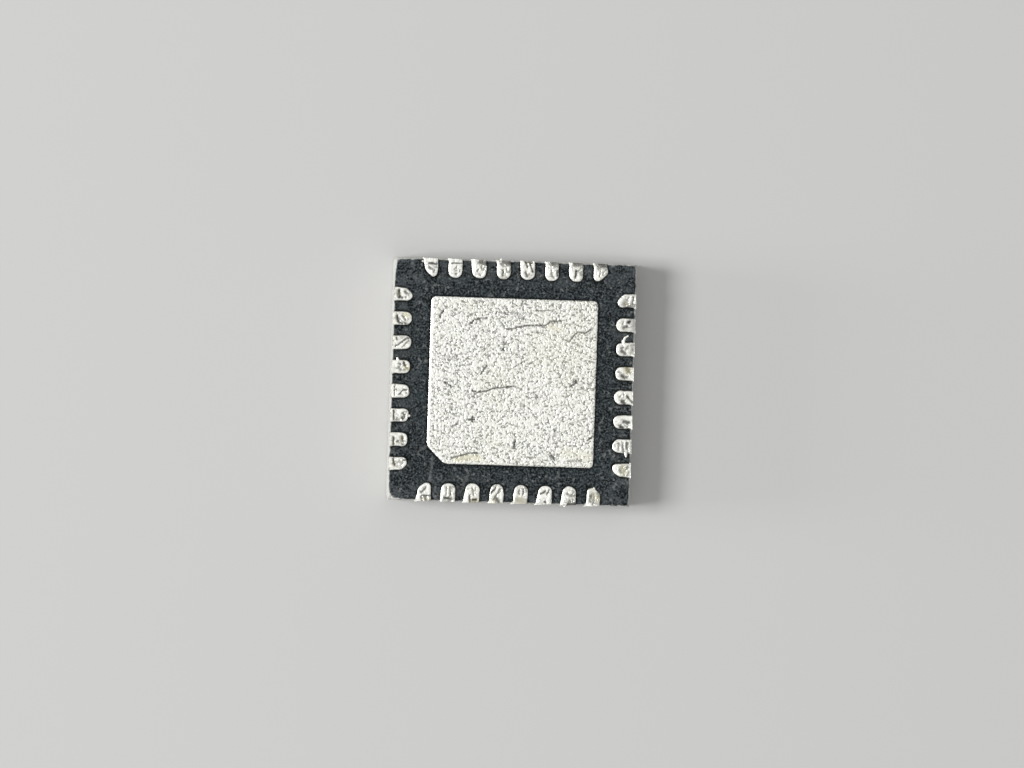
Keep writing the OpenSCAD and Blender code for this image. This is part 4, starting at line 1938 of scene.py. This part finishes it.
@dataclass
class Spur:
    """A sliver that the saw pulled out of a terminal, lying on the moulding.

    Attributes:
        number: Number of its terminal.
        photo: Places its line.
        width: Its width at the root, in millimetres.
        height: Its height.
        sunk: How far its middle lies under the solder face.
        steps: Points along its line.
    """

    number: int
    photo: Photo
    width: float = 0.07
    height: float = 0.024
    sunk: float = 0.012
    steps: int = 14

    def build(self, tree: SpurTree, finish: Material) -> None:
        """Builds and dresses the sliver.

        Args:
            tree: Draws it along its line.
            finish: The plating.
        """
        name = terminal_name(self.number)
        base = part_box(name)[1].z / MM - self.sunk
        line = self.photo.to_package(SPURS[self.number])
        points = np.column_stack((line, np.full(len(line), base)))
        mesh = bpy.data.meshes.new(name + "_spur")
        mesh.from_pydata((points * MM).tolist(), [(i, i + 1) for i in range(len(line) - 1)], [])
        thing = put(mesh.name, mesh)
        values = {
            "Seed": float(self.number),
            "Width": self.width,
            "Height": self.height,
            "Base": base,
            "Steps": self.steps,
            "Material": finish,
        }
        tree.apply(thing, values)
        write_points(thing, read_points(thing), {})
        settle(thing, "tin_plate")


@dataclass
class MouldBody:
    """The moulded block, sawn on four sides, in millimetres.

    Attributes:
        solid: Its solid in the frame.
        photo: Places its marks.
        seed: Fixes the texture.
        top_spacing, side_spacing, bottom_spacing: Spacing of the net on the face with the terminals,
            on the sawn sides and on the marked face.
        edge_wear, edge_chip: Least radius of the worn edges, and what they lose more where crumbled.
        crumbs, crumb_start, crumb_power: Two fields, the product of them at which an edge begins to
            crumble, and how sharply it does.
        broken, broken_width, broken_range: Field of the pale broken strip at an edge, the strip's
            greatest width, and the distances past its end where it begins to show and is whole.
        free_width: Distance from the metal where an edge may wear in full.
        moat_width, moat_depth: Reach of the sunk band round the metal, which is painted darker as
            shade, and how far it sinks.
        rim_width: Distance from an edge where the texture has its whole height.
        texture_cells, texture_height: Cells of the moulded texture per millimetre, and its height.
        line_cells, line_height: Cells across the saw lines per millimetre, and their height.
        marked_skin, marked_calm: Shares of the texture and of the even colour on the marked face.
        mark_level: Height under which a hollow is the pin-one mark.
        warm_field, warm_range: Field of the brown tint, and the values where it begins and is whole.
        warm_outer, warm_inner: Places across and along a side where it begins and is whole.
        warm_share: Share of the tint there.
        pale_field, pale_range: Field of the paler outer zone, and the values where it is least and
            most.
        pale_outer: Distances from the middle where the paler zone begins and is whole.
        pale_least, pale_slope: Its share where it is least, and its change per millimetre in x and y,
            which makes it paler towards the left and back.
    """

    solid: Thing
    photo: Photo
    seed: float = 2.0
    top_spacing: float = 0.0175
    side_spacing: float = 0.024
    bottom_spacing: float = 0.04
    edge_wear: float = 0.02
    edge_chip: float = 0.12
    crumbs: tuple[Field, Field] = (Field(9.0, 5), Field(31.0, 6))
    crumb_start: float = 0.16
    crumb_power: float = 1.2
    broken: Field = Field(14.0, 12)
    broken_width: float = 0.03
    broken_range: Span = (-0.012, 0.008)
    free_width: float = 0.05
    moat_width: float = 0.036
    moat_depth: float = 0.006
    rim_width: float = 0.035
    texture_cells: float = 16.0
    texture_height: float = 0.009
    line_cells: float = 24.0
    line_height: float = 0.006
    marked_skin: float = 0.4
    marked_calm: float = 0.75
    mark_level: float = 0.1
    warm_field: Field = Field(2.2, 9)
    warm_range: Span = (0.35, 0.85)
    warm_outer: Span = (2.05, 2.2)
    warm_inner: Span = (-1.85, -1.6)
    warm_share: float = 0.5
    pale_field: Field = Field(3.1, 8)
    pale_range: Span = (0.2, 0.8)
    pale_outer: Span = (1.75, 2.3)
    pale_least: float = 0.4
    pale_slope: Span = (-0.09, 0.05)

    def build(self, tree: MouldTree, finish: Material) -> None:
        """Builds and dresses the block.

        Args:
            tree: Adds texture and saw lines.
            finish: The moulding compound.
        """
        sides = (Facing.LEFT, Facing.RIGHT, Facing.FRONT, Facing.BACK)
        spacings = {facing: self.side_spacing for facing in sides}
        spacings[Facing.TOP] = self.top_spacing
        spacings[Facing.BOTTOM] = self.bottom_spacing
        net = FineSkin(self.solid, spacings).net()
        top = net.on[Facing.TOP]
        under = net.on[Facing.BOTTOM]
        shown = np.any(list(net.on.values()), axis=0)
        rim = np.where(shown, net.rim, 0.0)
        chip = self.chips(net.points)
        ragged = (self.broken_width + chip) * self.broken.at(net.points)
        sawn = np.any([net.on[facing] for facing in sides], axis=0).astype(float)
        sawn = np.maximum(sawn, top * smooth_step(ragged - net.corner, *self.broken_range))
        sawn[under] = 0.0
        mark = (~shown & (net.points[:, 2] < self.mark_level)).astype(float)
        # Sunk band round the metal that also takes painted shade
        moat_and_painted_shade = np.exp(-((rim / self.moat_width) ** 2)) * top
        self.wear(net.points, shown, smooth_step(rim, 0.0, self.free_width), chip)
        skin = np.where(shown, smooth_step(rim, 0.0, self.rim_width), 0.0)
        skin[under] *= self.marked_skin
        warm = self.warmth(net.points) * top
        pale_zone = self.pale_zone_share(net.points) * top
        net.points[:, 2] -= moat_and_painted_shade * self.moat_depth
        marks = {"skin": skin, "sawn": sawn, "warm": warm, "pale_zone": pale_zone, "moat_and_painted_shade": moat_and_painted_shade}
        marks |= {"calm": under * self.marked_calm, "mark": mark}
        thing = net.piece("mould_body_worn", marks)
        values = {
            "Seed": self.seed,
            "Texture Cells": self.texture_cells,
            "Texture Height": self.texture_height,
            "Line Cells": self.line_cells,
            "Line Height": self.line_height,
            "Material": finish,
        }
        tree.apply(thing, values)
        points = read_points(thing)
        drawn = Engraver(self.photo).draw(points, np.ones(len(points)), MOULD_SCUFFS)
        write_points(thing, points, {"scuff": drawn[Tone.BRIGHT.value] * top})
        settle(thing, "mould_compound", "mould_body")

    def chips(self, points: Array) -> Array:
        """Finds the corners and edges that have broken away.

        Args:
            points: Points in millimetres.

        Returns:
            Further radius of the worn edge.
        """
        radius = np.zeros(len(points))
        for path, reach in CHIPS:
            gap = Engraver.from_line(points[:, :2], self.photo.to_package(path))
            radius = np.maximum(radius, reach * np.exp(-((gap / (2 * reach)) ** 2)))
        return radius

    def wear(self, points: Array, shown: Array, free: Array, chip: Array) -> None:
        """Rounds and crumbles the outer edges.

        Args:
            points: Points in millimetres, changed in place.
            shown: Which of them lie on the outside.
            free: Share of the wear that each may take.
            chip: Further radius of each.
        """
        low = points.min(axis=0)
        high = points.max(axis=0)
        coarse, fine = self.crumbs
        crumbled = np.clip(coarse.at(points) * fine.at(points) - self.crumb_start, 0.0, None)
        radius = self.edge_wear + chip + self.edge_chip * crumbled**self.crumb_power
        radius = np.maximum(radius * free, LEAST_RADIUS)[:, None]
        core = np.clip(points, low + radius, high - radius)
        out = points - core
        reach = np.linalg.norm(out, axis=1, keepdims=True)
        edge = shown & ((np.abs(out) > NO_LENGTH).sum(axis=1) > 1)
        points[edge] = (core + out / np.maximum(reach, NO_LENGTH) * radius)[edge]

    def warmth(self, points: Array) -> Array:
        """Finds the resin between the terminals, which looks browner.

        Args:
            points: Points in millimetres.

        Returns:
            Share of the brown tint.
        """
        across = np.abs(points[:, :2])
        band = smooth_step(across.max(axis=1), *self.warm_outer)
        band *= smooth_step(-across.min(axis=1), *self.warm_inner)
        return self.warm_share * band * smooth_step(self.warm_field.at(points), *self.warm_range)

    def pale_zone_share(self, points: Array) -> Array:
        """Finds the paler outer zone, more so towards the left and back.

        Args:
            points: Points in millimetres.

        Returns:
            Share of the paler colour.
        """
        outer = np.abs(points[:, :2]).max(axis=1)
        zone = smooth_step(outer, *self.pale_outer) * (1 + points[:, :2] @ self.pale_slope)
        varied = smooth_step(self.pale_field.at(points), *self.pale_range)
        return zone * (self.pale_least + (1 - self.pale_least) * varied)


@dataclass
class HiddenPieces:
    """What the moulding closes in: the chip, its glue and its wires.

    Attributes:
        nodes: The frame's solids by name.
    """

    nodes: dict[str, Thing]

    def build(self) -> None:
        """Dresses the solids, which keep their own meshes."""
        silicon = InnerFinish(
            "silicon", (0.2, 0.21, 0.24), (0.12, 0.13, 0.15), cells=6.0, metallic=0.6, roughness=0.25
        )
        glue = InnerFinish(
            "die_glue", (0.55, 0.55, 0.53), (0.38, 0.38, 0.36), cells=30.0, metallic=0.3, roughness=0.5
        )
        gold = InnerFinish(
            "gold_wire", (1.0, 0.77, 0.34), (0.9, 0.64, 0.24), cells=40.0, metallic=1.0, roughness=0.25
        )
        self.dress(silicon, "silicon_die")
        self.dress(glue, "die_attach")
        sides = ("left", "top", "right", "bottom")
        self.dress(gold, *(f"bond_wires_{side}" for side in sides))

    def dress(self, finish: InnerFinish, *names: str) -> None:
        """Gives solids a finish.

        Args:
            finish: The finish.
            *names: Names of the solids.
        """
        material = finish.material()
        for name in names:
            solid = self.nodes[name]
            solid.data.materials.clear()
            solid.data.materials.append(material)
            LOG.info("%s: dressed", name)


@dataclass(frozen=True)
class Lamp:
    """A square soft lamp that points at the package.

    Attributes:
        name: Its name.
        place: Its place in metres.
        size: Its side in metres.
        watts: Its power.
    """

    name: str
    place: Triple
    size: float
    watts: float

    def hang(self) -> None:
        """Hangs the lamp in its place."""
        data = bpy.data.lights.new(self.name, "AREA")
        data.size = self.size
        data.energy = self.watts
        thing = put(self.name, data)
        thing.location = self.place
        thing.rotation_euler = Vector(self.place).to_track_quat("Z", "Y").to_euler()


LAMPS = (
    Lamp("overhead", (0.02, 0.0, 0.30), size=0.40, watts=0.18),
    Lamp("key", (-0.21, 0.0, 0.19), size=0.10, watts=0.60),
    Lamp("low", (-0.24, 0.0, 0.03), size=0.06, watts=0.32),
)


@dataclass
class Studio:
    """Floor, light and camera.

    Attributes:
        photo: Fixes the camera's angle and scale.
        face_height: Height of the solder face in millimetres.
        distance: Distance from the camera to the solder face, in metres.
        sensor: Width of the camera's sensor in millimetres.
        clip: Distances in metres between which the camera sees.
        floor_size: Side of the floor in metres.
        floor_level: Height of the floor in metres.
        sky: Strength of the light from all round.
        backdrop: Strength of what the camera, metal and glass see of it.
        aim_shift: Pixels by which the picture moves right, to bring the pad's edges into place.
    """

    photo: Photo
    face_height: float
    distance: float = 0.15
    sensor: float = 36.0
    clip: Span = (0.001, 5.0)
    floor_size: float = 0.6
    floor_level: float = -2e-6
    sky: float = 0.35
    backdrop: float = 0.55
    aim_shift: float = 0.45

    def build(self) -> None:
        """Sets up the studio."""
        self.floor()
        self.world()
        for lamp in LAMPS:
            lamp.hang()
        self.camera()
        bpy.context.scene.view_settings.view_transform = "Standard"

    def floor(self) -> None:
        """Lays the floor just under the package."""
        half = self.floor_size / 2
        signs = ((-1, -1), (1, -1), (1, 1), (-1, 1))
        corners = [(half * across, half * up, self.floor_level) for across, up in signs]
        mesh = bpy.data.meshes.new("floor")
        mesh.from_pydata(corners, [], [(0, 1, 2, 3)])
        mesh.materials.append(FloorFinish().material())
        put("floor", mesh)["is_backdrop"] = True

    def world(self) -> None:
        """Lights the package softly from all round, and shows a pale background."""
        world = bpy.data.worlds.new("studio")
        world.use_nodes = True
        world.node_tree.nodes.clear()
        graph = Graph(world.node_tree)
        path = graph.add("ShaderNodeLightPath")
        seen = graph.math("ADD", path.outputs["Is Camera Ray"], path.outputs["Is Glossy Ray"])
        seen = graph.math("ADD", seen, path.outputs["Is Transmission Ray"])
        strength = graph.remap(seen, 0.0, 1.0, self.sky, self.backdrop)
        inputs = {"Color": (1.0, 1.0, 1.0, 1.0), "Strength": strength}
        light = graph.add("ShaderNodeBackground", inputs)
        graph.add("ShaderNodeOutputWorld", {"Surface": light.outputs[0]})
        bpy.context.scene.world = world

    def camera(self) -> None:
        """Places the camera at the photograph's angle and scale."""
        photo = self.photo
        roll = math.radians(photo.roll_deg)
        lean_left = math.tan(math.radians(photo.lean_left_deg))
        lean_back = math.tan(math.radians(photo.lean_back_deg))
        back = Vector((-lean_left, lean_back, 1.0)).normalized()
        right = Vector((math.cos(roll), math.sin(roll), 0.0))
        right = (right - back * right.dot(back)).normalized()
        up = back.cross(right)
        aim = photo.pad_across + self.aim_shift
        off_right = ((photo.width - 1) / 2 - aim) / photo.pixels_per_mm * MM
        off_down = ((photo.height - 1) / 2 - photo.pad_down) / photo.pixels_per_mm * MM
        target = Vector((0.0, 0.0, self.face_height * MM)) + right * off_right - up * off_down
        data = bpy.data.cameras.new("camera")
        data.sensor_width = self.sensor
        data.lens = self.sensor * self.distance / (photo.width / photo.pixels_per_mm * MM)
        data.clip_start, data.clip_end = self.clip
        thing = put("camera", data)
        turn = Matrix((right, up, back)).transposed().to_4x4()
        thing.matrix_world = Matrix.Translation(target + back * self.distance) @ turn
        bpy.context.scene.camera = thing


def main() -> None:
    """Builds the package and the studio in order."""
    logging.basicConfig(level=logging.INFO, format="%(name)s %(message)s")
    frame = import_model()
    cad_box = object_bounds()
    nodes = frame["nodes"]
    photo = Photo()
    tin = TinPlate().material()
    plating = PlatingTree()
    MouldBody(nodes["mould_body"], photo).build(MouldTree(), MouldCompound().material())
    DiePaddle(nodes["die_paddle"], photo).build(plating, tin)
    for number in TERMINAL_STROKES:
        Terminal(number, nodes[terminal_name(number)], photo).build(plating, tin)
    spurs = SpurTree()
    for number in SPURS:
        Spur(number, photo).build(spurs, tin)
    HiddenPieces(nodes).build()
    Studio(photo, cad_box[1].z / MM).build()


if __name__ == "__main__":
    main()
